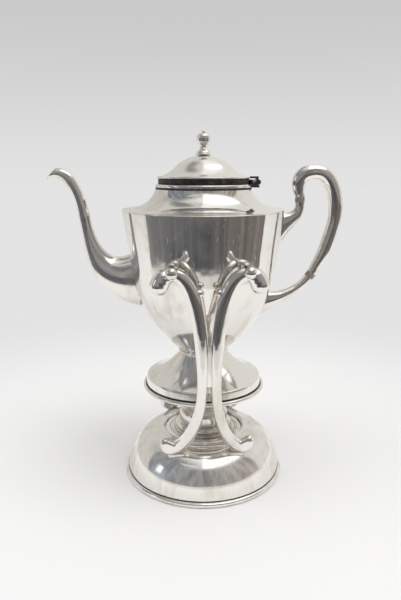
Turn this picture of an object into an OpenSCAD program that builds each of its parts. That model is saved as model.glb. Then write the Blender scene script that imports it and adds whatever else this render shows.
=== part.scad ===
// Silver-plated tilting coffee pot on its lamp stand.
// +Z is up with the table at z = 0, the pot's axis is the Z axis, the spout points along -X
// and the handle along +X. All sizes are in millimetres.

/* [Base] */
// Outside diameter of the base across its foot wire
base_d = 152; // [142:1:164]
// Height of the rounded shoulder of the base above the table
base_h = 43; // [38:1:48]
// Thickness of the raised sheet metal
sheet = 1.2; // [0.9:0.1:1.6]
// Radius of the half-round wire round the foot of the base
base_wire = 2.4; // [2:0.1:3]
// Diameter of the hole that takes the burner
burner_hole_d = 77; // [74:1:82]
// Width of the raised collar round that hole
collar_w = 3.4; // [2.5:0.1:4.5]
// Depth of the ledge that carries the burner below the top of the base
ledge_depth = 3; // [2:0.5:6]

/* [Burner] */
// Diameter of the spirit tank
tank_d = 54.6; // [48:0.5:58]
// Height of the spirit tank
tank_h = 33; // [26:1:36]
// How far the tank stands above the burner's ledge
tank_rise = 9.6; // [8:0.2:12]
// Diameter of the wick tube
wick_tube_d = 18; // [14:1:22]
// Height of the wick tube above the tank
wick_tube_h = 6; // [4:0.5:8]
// Diameter of the snuffer cap
cap_d = 46; // [40:1:50]
// Height of the snuffer cap without its knob
cap_h = 11; // [10:0.5:13]
// Height of the knob on the snuffer cap
cap_knob_h = 6.6; // [5:0.2:8]

/* [Pot] */
// Height of the pot's foot above the table, when it hangs on the stand
foot_z = 85.6; // [85:0.2:92]
// Diameter across the wire round the foot
foot_d = 114.8; // [108:0.4:118]
// Height of the upright band round the foot
foot_band_h = 11.6; // [9:0.2:14]
// Diameter of the narrow waist above the foot
waist_d = 53; // [48:0.5:58]
// Height of the foot from its lower edge to the waist
foot_h = 33.9; // [30:0.1:38]
// Height of the body from the waist to the sharp shoulder edge
body_h = 132.1; // [122:0.1:142]
// Diameter of the body at the shoulder edge
shoulder_d = 144.6; // [138:0.2:148]
// Diameter of the body where its bowl begins to close in
bowl_d = 129; // [126:0.5:131]
// Height above the waist where the bowl begins to close in
bowl_z = 75.5; // [70:0.5:80]
// Diameter of the neck at the rim
neck_d = 84.6; // [80:0.2:90]
// Height of the flared neck above the shoulder edge
neck_h = 18.4; // [15:0.2:22]

/* [Lid] */
// Height of the upright bezel that the lid sits on
bezel_h = 8; // [7:0.1:10]
// Thickness of the lid's flat rim
lid_rim_t = 1.7; // [1.4:0.1:2.2]
// Height of the lid's dome above its rim
lid_h = 18.1; // [15:0.1:22]
// Height of the turned finial
finial_h = 21; // [18:0.5:24]
// Diameter of the finial's bulb
finial_d = 10.6; // [9:0.2:12]
// Diameter of the hinge barrel
barrel_d = 4.6; // [4:0.1:5]
// Diameter of the hinge pin
hinge_pin_d = 2; // [1.6:0.1:2.4]
// Length of the hinge barrel
barrel_len = 17; // [14:0.5:20]

/* [Spout] */
// Distance from the pot's axis to the tip of the spout
spout_reach = 137; // [130:1:145]
// Height of the spout's tip above the waist
spout_tip_h = 160; // [152:1:168]
// Height of the middle of the spout's root above the waist
spout_root_h = 70; // [67:0.5:73]
// Half the height of the spout's root
spout_root = 26; // [24:0.5:28]
// Thickness of the spout's wall
spout_wall = 1.2; // [1:0.1:1.5]

/* [Handle] */
// How far the handle's upper root lies below the shoulder edge
handle_drop = 15.1; // [12:0.1:20]
// Height of the handle's lower root above the waist
handle_low_h = 47; // [43:0.5:51]
// How far the handle reaches out past its roots
handle_reach = 53; // [48:0.5:58]
// Thickness of each heat-stopping ring in the handle
ring_t = 5; // [3:0.5:6]

/* [Stand] */
// Distance of the pivot pegs from the pot's middle, along the handle and spout
peg_x = 30.3; // [27:0.1:33]
// Height of the pivot pegs above the table
peg_z = 209.5; // [205:0.5:214]
// Diameter of the pivot pegs
peg_d = 5; // [4:0.1:6]
// Diameter of the ball on each peg
peg_ball_d = 10; // [8:0.5:11]
// Thickness of the arms, front to back
arm_t = 9.4; // [8:0.2:10]
// Width of the arms where each pair runs side by side
arm_w = 9; // [8:0.2:9.6]
// Gap between the two arms of a pair
arm_gap = 2.4; // [1.6:0.2:3]
// Distance of the toes from the pot's middle, along the handle and spout
toe_x = 30; // [27:0.5:34]
// Distance of the toes from the pot's middle, front to back
toe_y = 47.6; // [45:0.2:50]

/* [Clearances] */
// Running clearance on the radius of every pin in its bore
run_gap = 0.05; // [0.03:0.01:0.08]
// Gap under a part that sits on another
seat_gap = 0.2; // [0.1:0.05:0.3]
// Room between the burner's pan and the hole that it drops into
drop_gap = 0.4; // [0.3:0.05:0.6]
// Room that lets the lid's plug swing out of the bezel
plug_gap = 0.8; // [0.7:0.05:1.2]
// Room between the body of the pot and the arms of the stand
arm_clear = 1; // [0.8:0.1:2]
// Room between the pot's foot and the arms of the stand
foot_clear = 3; // [2:0.2:4]

/* [Hidden] */
$fn = 96;

// Base
base_wire_out = 0.4;
wall_r = base_d / 2 - base_wire - base_wire_out;
wire_z = base_wire - 0.4;
hole_r = burner_hole_d / 2;
collar_r = hole_r + collar_w - 1;
dome_rise = base_h - wire_z * 2;
base_steps = 20;

// Burner
ledge_t = 1.2;
ledge_w = 3.6;
collar_in_r = hole_r - sheet;
ledge_z = base_h - ledge_depth;
flange_t = 1.2;
flange_r = collar_in_r - drop_gap;
tank_r = tank_d / 2;
tank_top = ledge_z + seat_gap + tank_rise;
tank_bottom = tank_top - tank_h;
tank_round = 4;
cap_wall = 1.2;
cap_z = tank_top + seat_gap;
cap_r = cap_d / 2;
wick_r = wick_tube_d / 2 - 1.2;

// Pot profile
foot_r = foot_d / 2;
foot_wire_r = 1.9;
foot_wire_out = 1.2;
band_r = foot_r - foot_wire_r - foot_wire_out;
waist_r = waist_d / 2;
waist_z = foot_z + foot_h;
waist_ring_h = 8.4;
shoulder_r = shoulder_d / 2;
shoulder_z = waist_z + body_h;
bowl_r = bowl_d / 2;
bowl_top = waist_z + bowl_z;
bowl_drop = bowl_z + 2.5;
bowl_floor = waist_z + 5.5;
bowl_steps = 22;
neck_r = neck_d / 2;
neck_z = shoulder_z + neck_h;
neck_steps = 14;
rim_wire_r = 1.7;
rim_wire_x = neck_r - 1.4;
bezel_r = neck_r - 2.2;
neck_top = neck_z + 0.6;
bezel_z = neck_top + bezel_h;
rim_z = neck_top + rim_wire_r;

// Lid
lid_z = bezel_z + seat_gap;
lid_r = neck_r - 1;
lid_top = lid_z + lid_rim_t + lid_h;
lid_hole_r = 2.2;
plug_r = bezel_r - sheet - plug_gap;
plug_h = 6;
hinge_x = neck_r + barrel_d / 2 + 3;
hinge_z = neck_z + 5.6;
knuckle_side = (barrel_len - 7) / 2;
knuckle_gap = 0.2;
pin_r = hinge_pin_d / 2;
finial_neck_r = 2.4;

// Stand and pegs
peg_r = peg_d / 2;
peg_rest_gap = 0.1;
arm_y = body_r(peg_z) + arm_clear + arm_t / 2;
boss_r = peg_r + 2.6;
boss_face = arm_y - arm_t / 2 - 1;
peg_end = arm_y + arm_t / 2 + 3;
stem_x = arm_gap / 2 + arm_w / 2;
stem_y = max(foot_r + foot_clear + arm_t / 2, arm_y - 4);
knop_r = 3.2;

// Points on a dome of a round base: height of its outer face at a given radius
function dome_z(r) = wire_z * 2 + dome_rise * sqrt(max(0, 1 - pow((r - collar_r) / (wall_r - collar_r), 2)));

// Radius of the pot's body at a height: a slight flare above, a quarter ellipse below
function flare_r(z) = bowl_r + (shoulder_r - bowl_r) * (z - bowl_top) / (shoulder_z - bowl_top);
function body_r(z) = flare_r(z) * (z > bowl_top ? 1 : sqrt(1 - pow((bowl_top - z) / bowl_drop, 2)));

// Curves. A point may carry half widths after its coordinates, and they are blended too
function bezier2(a, b, c, t) = a * pow(1 - t, 2) + b * 2 * t * (1 - t) + c * t * t;
function bezier3(p, t) = p[0] * pow(1 - t, 3) + p[1] * 3 * t * pow(1 - t, 2)
    + p[2] * 3 * t * t * (1 - t) + p[3] * pow(t, 3);
function curve2(a, b, c, steps) = [for (i = [0 : steps]) bezier2(a, b, c, i / steps)];
function curve3(p, steps, first = 0) = [for (i = [first : steps]) bezier3(p, i / steps)];
function reverse(list) = [for (i = [len(list) - 1 : -1 : 0]) list[i]];
function unit(v) = v / norm(v);
function place(p) = [p[0], p[1], p[2]];
function mix(a, b, t) = a + (b - a) * t;

// Direction of a path at one of its stations
function heading(path, i) = unit(place(path[min(i + 1, len(path) - 1)]) - place(path[max(i - 1, 0)]));

// Extra stations that round off the end of a path, in the direction away from it
cap_rings = 4;
function rounded_end(station, away) = [for (k = [1 : cap_rings])
    let (a = 86 * k / cap_rings, tip = place(station) + away * station[3] * sin(a))
    [tip[0], tip[1], tip[2], station[3] * cos(a), station[4] * cos(a)]];
function round_both(path) = concat(
    reverse(rounded_end(path[0], -heading(path, 0))),
    path,
    rounded_end(path[len(path) - 1], heading(path, len(path) - 1)));
function round_last(path) = concat(path, rounded_end(path[len(path) - 1], heading(path, len(path) - 1)));

// One ring of points across a path: half width in the XZ plane, half depth along Y
function squared(v, power) = sign(v) * pow(abs(v), power);
function ring(path, i, sides, power, inset) =
    let (along = heading(path, i), across = unit(cross([0, 1, 0], along)), deep = cross(along, across),
        w = path[i][3] - inset, d = path[i][4] - inset)
    [for (k = [0 : sides - 1]) let (a = 360 * k / sides)
        place(path[i]) + across * w * squared(cos(a), power) + deep * d * squared(sin(a), power)];

// Solid bar swept along a path of [x, y, z, half width, half depth]
module bar(path, sides, power = 1) {
    last = len(path) - 1;
    points = [for (i = [0 : last]) each ring(path, i, sides, power, 0)];
    skin = [for (i = [0 : last - 1], k = [0 : sides - 1])
        let (n = (k + 1) % sides, a = i * sides + k, b = i * sides + n, c = a + sides, d = b + sides)
        each [[a, d, b], [a, c, d]]];
    ends = [for (k = [1 : sides - 2], i = [0, last * sides])
        i == 0 ? [0, k, k + 1] : [i, i + k + 1, i + k]];
    polyhedron(points, concat(skin, ends));
}

// Open pipe swept along a path, with a wall of even thickness
module pipe(path, sides, wall) {
    last = len(path) - 1;
    count = (last + 1) * sides;
    points = [for (inset = [0, wall]) for (i = [0 : last]) each ring(path, i, sides, 1, inset)];
    skin = [for (i = [0 : last - 1], k = [0 : sides - 1])
        let (n = (k + 1) % sides, a = i * sides + k, b = i * sides + n, c = a + sides, d = b + sides)
        each [[a, d, b], [a, c, d], [count + a, count + b, count + d], [count + a, count + d, count + c]]];
    mouths = [for (i = [0, last], k = [0 : sides - 1])
        let (n = (k + 1) % sides, a = i * sides + k, b = i * sides + n, c = count + a, d = count + b)
        each (i == 0 ? [[a, b, d], [a, d, c]] : [[a, d, b], [a, c, d]])];
    polyhedron(points, concat(skin, mouths));
}

// Sheet-metal shell between two revolved outlines, each listed from the bottom up
module spun(outer, inner) {
    rotate_extrude() polygon(concat(outer, reverse(inner)));
}

// Section of a wire that lies against the outside of an upright wall
module half_wire(wall, radius, z, out) {
    difference() {
        translate([wall + out, z]) circle(radius);
        translate([0, z - 2 * radius]) square([wall, 4 * radius]);
    }
}

// Base ------------------------------------------------------------------

function base_outline(inset) = [for (i = [0 : base_steps])
    let (a = 90 * i / base_steps)
    [collar_r + (wall_r - inset - collar_r) * cos(a), wire_z * 2 + (dome_rise - inset) * sin(a)]];

module base_solid() {
    rotate_extrude() polygon(concat([[0, 0], [wall_r, 0]], base_outline(0), [[0, base_h]]));
}

module base_dome() {
    color("silver") spun(
        concat([[wall_r, 0]], base_outline(0), [[hole_r, base_h]]),
        concat([[wall_r - sheet, 0]], base_outline(sheet), [[hole_r, base_h - sheet]]));
}

module base_wire_ring() {
    color("silver") rotate_extrude() difference() {
        half_wire(wall_r, base_wire, wire_z, base_wire_out);
        translate([wall_r - 1, -base_wire]) square([2 * base_wire + 2, base_wire]);
    }
}

// Collar: a bead on the base, a short tube through the hole and the ledge that carries the burner
module burner_collar() {
    bead_r = collar_w / 2;
    color("silver") rotate_extrude() {
        difference() {
            translate([hole_r + collar_w / 2 - 0.6, base_h]) circle(bead_r);
            translate([0, base_h - collar_w]) square([hole_r + collar_w + 1, collar_w]);
        }
        translate([collar_in_r, ledge_z - ledge_t]) square([sheet, ledge_depth + ledge_t]);
        translate([collar_in_r, base_h]) square([sheet + 0.4, 0.8]);
        translate([collar_in_r - ledge_w, ledge_z - ledge_t]) square([ledge_w + 0.2, ledge_t]);
    }
}

// Burner ----------------------------------------------------------------

// Closed tank: upright wall, rounded shoulder, flat top with a hole for the wick tube
function tank_outline(inset) = concat(
    [[0, tank_bottom + inset], [tank_r - tank_round, tank_bottom + inset]],
    [for (i = [0 : 6]) let (a = -90 + 15 * i)
        [tank_r - tank_round + (tank_round - inset) * cos(a),
            tank_bottom + tank_round + (tank_round - inset) * sin(a)]],
    [for (i = [0 : 6]) let (a = 15 * i)
        [tank_r - tank_round + (tank_round - inset) * cos(a),
            tank_top - tank_round + (tank_round - inset) * sin(a)]],
    [[wick_tube_d / 2, tank_top - inset]]);

module burner_tank() {
    color("silver") rotate_extrude() polygon(concat(tank_outline(0), reverse(tank_outline(sheet))));
}

module burner_flange() {
    color("silver") rotate_extrude() {
        translate([tank_r, ledge_z + seat_gap]) square([flange_r - tank_r, flange_t]);
        translate([tank_r + 4.4, ledge_z + seat_gap + flange_t]) circle(0.9);
    }
}

module burner_wick_tube() {
    color("silver") rotate_extrude() {
        translate([wick_r, tank_top - 6]) square([1.2, wick_tube_h + 6]);
        translate([wick_r, tank_top]) square([3.6, 1]);
        translate([wick_r + 1.1, tank_top + wick_tube_h - 0.6]) circle(0.9);
    }
}

module burner_wick() {
    color("ivory") translate([0, 0, tank_bottom + sheet])
        cylinder(h = tank_top + wick_tube_h + 1 - tank_bottom - sheet, r = wick_r);
}

// Snuffer: a flat-topped cap with a rounded edge, stepped once near the knob
function cap_outline(inset) =
    let (edge = 3.2, top = cap_z + cap_h - inset, side = cap_r - inset)
    concat(
        [[side, cap_z], [side, top - edge]],
        [for (i = [1 : 6]) [side - edge + edge * cos(15 * i), top - edge + edge * sin(15 * i)]],
        [[cap_r * 0.52 - inset, top], [cap_r * 0.46 - inset, top + 1.4]]);

module snuffer_cap() {
    color("silver") rotate_extrude() polygon(concat(
        cap_outline(0), [[0, cap_z + cap_h + 1.4], [0, cap_z + cap_h + 1.4 - cap_wall]],
        reverse(cap_outline(cap_wall))));
}

module snuffer_knob() {
    foot = cap_z + cap_h + 1.4;
    ball_r = cap_knob_h * 0.42;
    color("silver") rotate_extrude() {
        translate([0, foot]) square([2.6, 0.9]);
        translate([0, foot]) square([1.2, cap_knob_h - ball_r]);
        intersection() {
            translate([0, foot + cap_knob_h - ball_r]) circle(ball_r);
            translate([0, foot]) square([ball_r, cap_knob_h]);
        }
    }
}

// Pot -------------------------------------------------------------------

foot_edge = [band_r - 1.2, foot_z + foot_band_h];
function foot_curve(inset) = curve2(
    foot_edge - [inset, inset],
    [mix(waist_r, foot_edge[0], 0.36) - inset, foot_z + foot_band_h + 4.8 - inset],
    [waist_r - inset, waist_z], 14);

module pot_foot() {
    color("silver") spun(
        concat([[band_r, foot_z], [band_r, foot_z + 4.3], [band_r - 0.8, foot_z + foot_band_h - 1.2]],
            foot_curve(0)),
        concat([[band_r - sheet, foot_z], [band_r - sheet, foot_z + 4],
            [band_r - sheet - 0.8, foot_z + foot_band_h - 1.6]],
            foot_curve(sheet)));
}

module pot_foot_wire() {
    color("silver") rotate_extrude() half_wire(band_r, foot_wire_r, foot_z + foot_wire_r, foot_wire_out);
}

// Waist: the small cup ring that joins the foot to the bowl and fits the bowl's underside
function bowl_curve(from, to, steps, inset) = [for (i = [0 : steps])
    let (z = mix(from, to, i / steps)) [body_r(z) - inset, z]];

module bowl_outer() {
    rotate_extrude() polygon(concat([[0, bowl_floor]],
        bowl_curve(bowl_floor, bowl_top, bowl_steps, 0), [[shoulder_r, shoulder_z], [0, shoulder_z]]));
}

module pot_waist() {
    ring_r = waist_r + 1.9;
    hollow_r = waist_r - 6;
    color("silver") difference() {
        rotate_extrude() {
            translate([hollow_r, waist_z]) square([ring_r - hollow_r - 0.8, waist_ring_h]);
            translate([ring_r - 1.6, waist_z + 1]) circle(1.6);
            translate([ring_r - 1.6, waist_z + waist_ring_h - 3]) circle(1.6);
        }
        bowl_outer();
        translate([0, 0, waist_z - 2]) cylinder(h = 2, r = ring_r + 1);
    }
}

// Bowl: spun wall with a flat floor and the hole where the spout begins
spout_hole = 12;
module along_spout() {
    translate([0, 0, spout_root_z]) rotate([0, -90, 0]) children();
}

module pot_bowl() {
    inner_floor = bowl_floor + sheet;
    color("silver") difference() {
        rotate_extrude() polygon(concat(
            [[0, bowl_floor]], bowl_curve(bowl_floor, bowl_top, bowl_steps, 0), [[shoulder_r, shoulder_z]],
            [[shoulder_r - sheet, shoulder_z]],
            reverse(bowl_curve(inner_floor, bowl_top, bowl_steps, sheet)), [[0, inner_floor]]));
        along_spout() cylinder(h = shoulder_r + 1, r = spout_hole);
    }
}

// Neck: nearly flat at the sharp shoulder edge, then sweeping up to the rim
neck_points = [[shoulder_r, shoulder_z], [mix(neck_r, shoulder_r, 0.46), shoulder_z + 0.4],
    [neck_r + 3.7, shoulder_z + neck_h * 0.35], [neck_r, neck_z]];
neck_curve = curve3(neck_points, neck_steps);
neck_under = curve3([for (p = neck_points) p - [sheet, 0]], neck_steps, 1);

// The neck turns in at the top, where the rim and the bezel stand on it
module pot_neck() {
    color("silver") rotate_extrude() polygon(concat(
        [[shoulder_r, shoulder_z], [shoulder_r, shoulder_z + 0.6]],
        [for (p = neck_curve) if (p[0] < shoulder_r) p + [0, 0.6]],
        [[bezel_r - sheet, neck_top], [bezel_r - sheet, neck_z - 0.4]],
        reverse([for (p = neck_under) p - [0, 0.4]]), [[shoulder_r - sheet - 1, shoulder_z]]));
}

// Rim: a round wire on the neck with a groove below it
module rim_section() {
    translate([rim_wire_x, rim_z]) circle(rim_wire_r);
}

module pot_rim() {
    color("silver") rotate_extrude() difference() {
        rim_section();
        translate([0, neck_z]) square([bezel_r, bezel_h]);
    }
}

module pot_bezel() {
    color("silver") rotate_extrude() translate([bezel_r - sheet, neck_top]) square([sheet, bezel_h]);
}

// Spout -----------------------------------------------------------------

spout_root_z = waist_z + spout_root_h;
spout_tip = [-spout_reach, 0, waist_z + spout_tip_h];
spout_scale = spout_reach / 137;
spout_bend = [-spout_reach + 31 * spout_scale, 0, mix(spout_root_z, spout_tip[2], 0.62)];

// A station of a path. Its two half widths grow with the part that it belongs to
function station(p, half, grow = 1) = [p[0], p[1], p[2], half[0] * grow, half[1] * grow];
function spout_station(p, half) = station(p, half, spout_scale);
spout_path = concat(
    curve3([
        station([-bowl_r + 8, 0, spout_root_z], [spout_root, 15.5]),
        station([-bowl_r - 22.5 * spout_scale, 0, spout_root_z], [spout_root * 0.75, 15]),
        spout_station(spout_bend + [6, 0, -41] * spout_scale, [4.1, 4]),
        spout_station(spout_bend, [5.3, 5])], 16),
    curve3([
        spout_station(spout_bend, [5.3, 5]),
        spout_station(spout_bend + [-4.8, 0, 33] * spout_scale, [3.4, 4.4]),
        spout_station(spout_tip + [13, 0, 10.5] * spout_scale, [7.4, 5.2]),
        spout_station(spout_tip, [1.7, 3])], 16, 1));

// The mouth is cut at a slant, so that the underside of the spout ends in a beak
mouth_slant = 48;
mouth_lip = 1.2;
module spout_mouth() {
    translate(spout_tip - [0, 0, mouth_lip]) rotate([0, -mouth_slant, 0])
        translate([-spout_root / 2, -spout_root / 2, 0]) cube(spout_root);
}

module pot_spout() {
    color("silver") difference() {
        pipe(spout_path, 24, spout_wall);
        bowl_outer();
        spout_mouth();
    }
}

// Strainer: a pierced disc inside the bowl, behind the spout
strainer_t = 0.8;
module pot_strainer() {
    wall_x = body_r(spout_root_z) - sheet;
    color("silver") intersection() {
        difference() {
            along_spout() cylinder(h = wall_x, r = spout_hole + 2);
            along_spout() cylinder(h = wall_x - 2.6, r = spout_hole + 3);
            for (row = [-2 : 2], col = [-2 : 2])
                if (abs(row) + abs(col) < 4)
                    along_spout() translate([row * 4, col * 4.4 + (row % 2) * 2.2, 0])
                        cylinder(h = wall_x + 1, r = 1.1, $fn = 20);
        }
        rotate_extrude() polygon(concat(
            bowl_curve(bowl_floor + sheet, bowl_top, bowl_steps, sheet + strainer_t),
            reverse(bowl_curve(bowl_floor + sheet, bowl_top, bowl_steps, sheet))));
    }
}

// Handle ----------------------------------------------------------------

upper_z = shoulder_z - handle_drop;
lower_z = waist_z + handle_low_h;
upper_root = [body_r(upper_z), 0, upper_z];
lower_root = [body_r(lower_z), 0, lower_z];
handle_scale = handle_reach / 53;
ring_up = upper_root + [16.8, 0, 21.3] * handle_scale;
ring_low = lower_root + [41.6, 0, 22.3] * handle_scale;
up_way = [0, 0, 1];
low_way = unit([0.6, 0, 0.8]);
ring_seat = 0.4;
ring_proud = 0.2;
grip_top = upper_root + [27.8, 0, 47.4] * handle_scale;
grip_far = upper_root + [48.5, 0, 1] * handle_scale;
upper_end = [4.3, 4.5];
lower_end = [4.4, 4.6];
function handle_station(p, offset, half) = station(p + offset * handle_scale, half, handle_scale);

upper_socket_path = concat(
    curve3([
        handle_station(upper_root, [-6, 0, -3.5], [13.5, 7]),
        handle_station(upper_root, [6.8, 0, 6.5], [7.8, 5.6]),
        handle_station(ring_up, [1, 0, -14.3], [3.6, 4.4]),
        station(ring_up - up_way * ring_seat, upper_end)], 14),
    [station(ring_up, upper_end)]);
grip_path = concat(
    [station(ring_up + up_way * ring_t, upper_end)],
    curve3([
        station(ring_up + up_way * (ring_t + ring_seat), upper_end),
        handle_station(ring_up, [-2, 0, ring_t + 5], [4.9, 5]),
        handle_station(grip_top, [-17, 0, -1.2], [7.6, 6]),
        handle_station(grip_top, [0, 0, 0], [7.1, 6.6])], 12),
    curve3([
        handle_station(grip_top, [0, 0, 0], [7.1, 6.6]),
        handle_station(grip_top, [20.2, 0, 1.4], [6.7, 6.8]),
        handle_station(grip_far, [4.3, 0, 17.4], [6.7, 6.6]),
        handle_station(grip_far, [0, 0, 0], [5.8, 6.2])], 14, 1),
    curve3([
        handle_station(grip_far, [0, 0, 0], [5.8, 6.2]),
        handle_station(grip_far, [-7.6, 0, -31], [6.5, 5.8]),
        handle_station(ring_low, [9.6, 0, 18], [4.8, 5.2]),
        station(ring_low + low_way * (ring_t + ring_seat), lower_end)], 14, 1),
    [station(ring_low + low_way * ring_t, lower_end)]);
lower_socket_path = concat(
    [station(ring_low, lower_end)],
    curve3([
        station(ring_low - low_way * ring_seat, lower_end),
        handle_station(ring_low, [-6, 0, -8.3], [3.9, 4.6]),
        handle_station(lower_root, [19.6, 0, 2], [1.8, 4.4]),
        handle_station(lower_root, [-6, 0, -1], [13, 7])], 16));

module handle_part(path) {
    color("silver") difference() {
        bar(path, 16);
        bowl_outer();
    }
}

module handle_socket_upper() {
    handle_part(upper_socket_path);
}

module handle_socket_lower() {
    handle_part(lower_socket_path);
}

// Rivets through the ends of the grip
rivet_r = 1.2;
rivet_proud = 0.5;
rivet_stations = [2, len(grip_path) - 3];
module rivet(i, proud) {
    at = grip_path[rivet_stations[i]];
    translate(place(at)) rotate([90, 0, 0])
        cylinder(h = 2 * (at[4] + proud), r = rivet_r, center = true, $fn = 32);
}

module handle_grip() {
    color("silver") difference() {
        bar(grip_path, 16);
        for (i = [0, 1]) rivet(i, 1);
    }
}

// Rings that keep the heat of the pot out of the grip, a little proud of the metal
module handle_ring(from, to, half) {
    color("tan") bar([station(from, half),
        station(mix(from, to, 0.1), half + ring_proud * [1, 1]),
        station(mix(from, to, 0.9), half + ring_proud * [1, 1]),
        station(to, half)], 16);
}

module handle_ring_upper() {
    handle_ring(ring_up, ring_up + up_way * ring_t, upper_end);
}

module handle_ring_lower() {
    handle_ring(ring_low + low_way * ring_t, ring_low, lower_end);
}

module handle_pin_upper() {
    color("silver") rivet(0, rivet_proud);
}

module handle_pin_lower() {
    color("silver") rivet(1, rivet_proud);
}

// Pegs and bosses -------------------------------------------------------

module along_peg(x_side, y_side) {
    translate([x_side * peg_x, 0, peg_z]) rotate([y_side * -90, 0, 0]) children();
}

// Boss on the bowl's wall at a peg. A pivot peg turns in it, a rest peg is set in it
module boss(x_side, y_side, bore) {
    color("silver") difference() {
        along_peg(x_side, y_side) {
            cylinder(h = boss_face - 2, r = boss_r);
            cylinder(h = boss_face, r = boss_r - 1.2);
        }
        bowl_outer();
        along_peg(x_side, y_side) cylinder(h = boss_face + 1, r = bore);
    }
}

module boss_front_left() {
    boss(-1, -1, peg_r + run_gap);
}

module boss_front_right() {
    boss(1, -1, peg_r);
}

module boss_rear_left() {
    boss(-1, 1, peg_r + run_gap);
}

module boss_rear_right() {
    boss(1, 1, peg_r);
}

// Peg: a round pin with a collar and a ball end, from inside its boss to outside the arm
module peg(x_side, y_side) {
    root = boss_face - 3;
    ball_y = peg_end + peg_ball_d / 2;
    color("silver") along_peg(x_side, y_side) rotate_extrude() {
        translate([0, root]) square([peg_r, ball_y - root]);
        translate([0, peg_end - 0.8]) square([peg_r + 0.9, 1.6]);
        intersection() {
            translate([0, ball_y]) circle(peg_ball_d / 2);
            translate([0, ball_y - peg_ball_d]) square([peg_ball_d, 2 * peg_ball_d]);
        }
    }
}

module pivot_front() {
    peg(-1, -1);
}

module pivot_rear() {
    peg(-1, 1);
}

module rest_peg_front() {
    peg(1, -1);
}

module rest_peg_rear() {
    peg(1, 1);
}

// Stand arms ------------------------------------------------------------

arch_z = peg_z + 2.1;
half_w = arm_w / 2;
half_t = arm_t / 2;
arm_sides = 14;
arm_power = 0.84;
arm_scale = arm_w / 9;
toe = [toe_x, -toe_y, dome_z(norm([toe_x, toe_y])) + 5.4 * arm_scale];
stem_low = [stem_x + 0.9, -stem_y - 0.5, foot_z + 12];
stem_high = [stem_x, -arm_y, foot_z + 32];
arch = [peg_x, -arm_y, arch_z - 5.4];
stem_half = [half_w, half_t];
function arm_station(p, offset, half) = station(p + offset * arm_scale, half, arm_scale);

toe_path = curve3([
    arm_station(toe, [7.6, -0.8, 6.6], [4.2, 4.4]),
    arm_station(toe, [8.6, -0.4, 0.6], [5, 5]),
    arm_station(toe, [4.6, 0.6, -1.8], [5.4, 5.2]),
    arm_station(toe, [0, 0, 0], [5.4, 5.2])], 7);
leg_path = curve3([
    arm_station(toe, [0, 0, 0], [5.4, 5.2]),
    arm_station(toe, [-13, -2.4, 4.8], [6.4, 5.4]),
    station(stem_low + [1.6, 2, -20], stem_half),
    station(stem_low, stem_half)], 12, 1);
stem_bars = curve3([
    station(stem_low, stem_half),
    station(mix(stem_low, stem_high, 0.33) - [0.3, 0, 0], stem_half),
    station(mix(stem_low, stem_high, 0.67) - [0.2, 0, 0], stem_half),
    station(stem_high, stem_half)], 3, 1);
neck_bars = curve3([
    station(stem_high, stem_half),
    station([stem_high[0], -arm_y, mix(stem_high[2], arch[2], 0.617)], [half_w + 1.8, half_t + 0.2]),
    arm_station(arch, [-16.3, 0, 0], [6.6, 5.1]),
    arm_station(arch, [0, 0, 0], [5.4, 4.9])], 16, 1);
bulb_path = curve3([
    arm_station(arch, [0, 0, 0], [5.4, 4.9]),
    arm_station(arch, [3, 0, 0], [5.6, 4.9]),
    arm_station(arch, [5, 0, -0.8], [6, 5.2]),
    arm_station(arch, [6.8, 0, -2.4], [6, 5.4])], 4, 1);
bulb_balls = [for (ball = [[6.4, -2.9, 7.4], [8.2, -5.8, 7.8], [9.4, -8.6, 7.9]])
    [arch + [ball[0], 0, ball[1]] * arm_scale, ball[2] * arm_scale]];
arm_path = round_both(concat(toe_path, leg_path, stem_bars, neck_bars, bulb_path));

// The same point or station on another arm of the stand
function on_arm(p, x_side, y_side) =
    [for (i = [0 : len(p) - 1]) p[i] * (i == 0 ? x_side : i == 1 ? y_side : 1)];
function path_on_arm(path, x_side, y_side) = [for (p = path) on_arm(p, x_side, y_side)];

// Notch for a peg: straight walls for the pivot, flared ones where the peg swings out
module peg_notch(flare) {
    r = peg_r + peg_rest_gap;
    rotate([90, 0, 0]) {
        cylinder(h = 3 * arm_t, r = r, center = true);
        linear_extrude(3 * arm_t, center = true) polygon([[-r, 0], [r, 0], [r + flare, 8], [-r - flare, 8]]);
    }
}

module arm(x_side, y_side) {
    knop = on_arm([stem_x + 1.8, -arm_y, peg_z - 18.5], x_side, -y_side);
    color("silver") difference() {
        union() {
            bar(path_on_arm(arm_path, x_side, -y_side), arm_sides, arm_power);
            for (ball = bulb_balls) translate(on_arm(ball[0], x_side, -y_side)) sphere(ball[1], $fn = 40);
            translate(knop) sphere(knop_r, $fn = 32);
            translate(knop) rotate([0, x_side * 90, 0]) cylinder(h = 6, r = 2.2, $fn = 32);
        }
        base_solid();
        translate([x_side * peg_x, y_side * arm_y, peg_z]) peg_notch(x_side > 0 ? 1.2 : 0);
    }
}

module arm_front_left() {
    arm(-1, -1);
}

module arm_front_right() {
    arm(1, -1);
}

module arm_rear_left() {
    arm(-1, 1);
}

module arm_rear_right() {
    arm(1, 1);
}

// Thin plate that joins the two arms of a pair where they run side by side
stem_part = concat([leg_path[len(leg_path) - 1]], stem_bars, [for (i = [0 : 7]) neck_bars[i]]);
module arm_bridge(y_side) {
    color("silver") difference() {
        translate([-2.6, y_side * arm_y - 1, stem_high[2] - 6]) cube([5.2, 2, 36]);
        for (x_side = [-1, 1]) bar(path_on_arm(stem_part, x_side, -y_side), arm_sides, arm_power);
    }
}

module arm_bridge_front() {
    arm_bridge(-1);
}

module arm_bridge_rear() {
    arm_bridge(1);
}

// Hinge -----------------------------------------------------------------

module hinge_bore(bore) {
    translate([hinge_x, 0, hinge_z]) rotate([90, 0, 0]) cylinder(h = 2 * barrel_len, r = bore, center = true);
}

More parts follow.
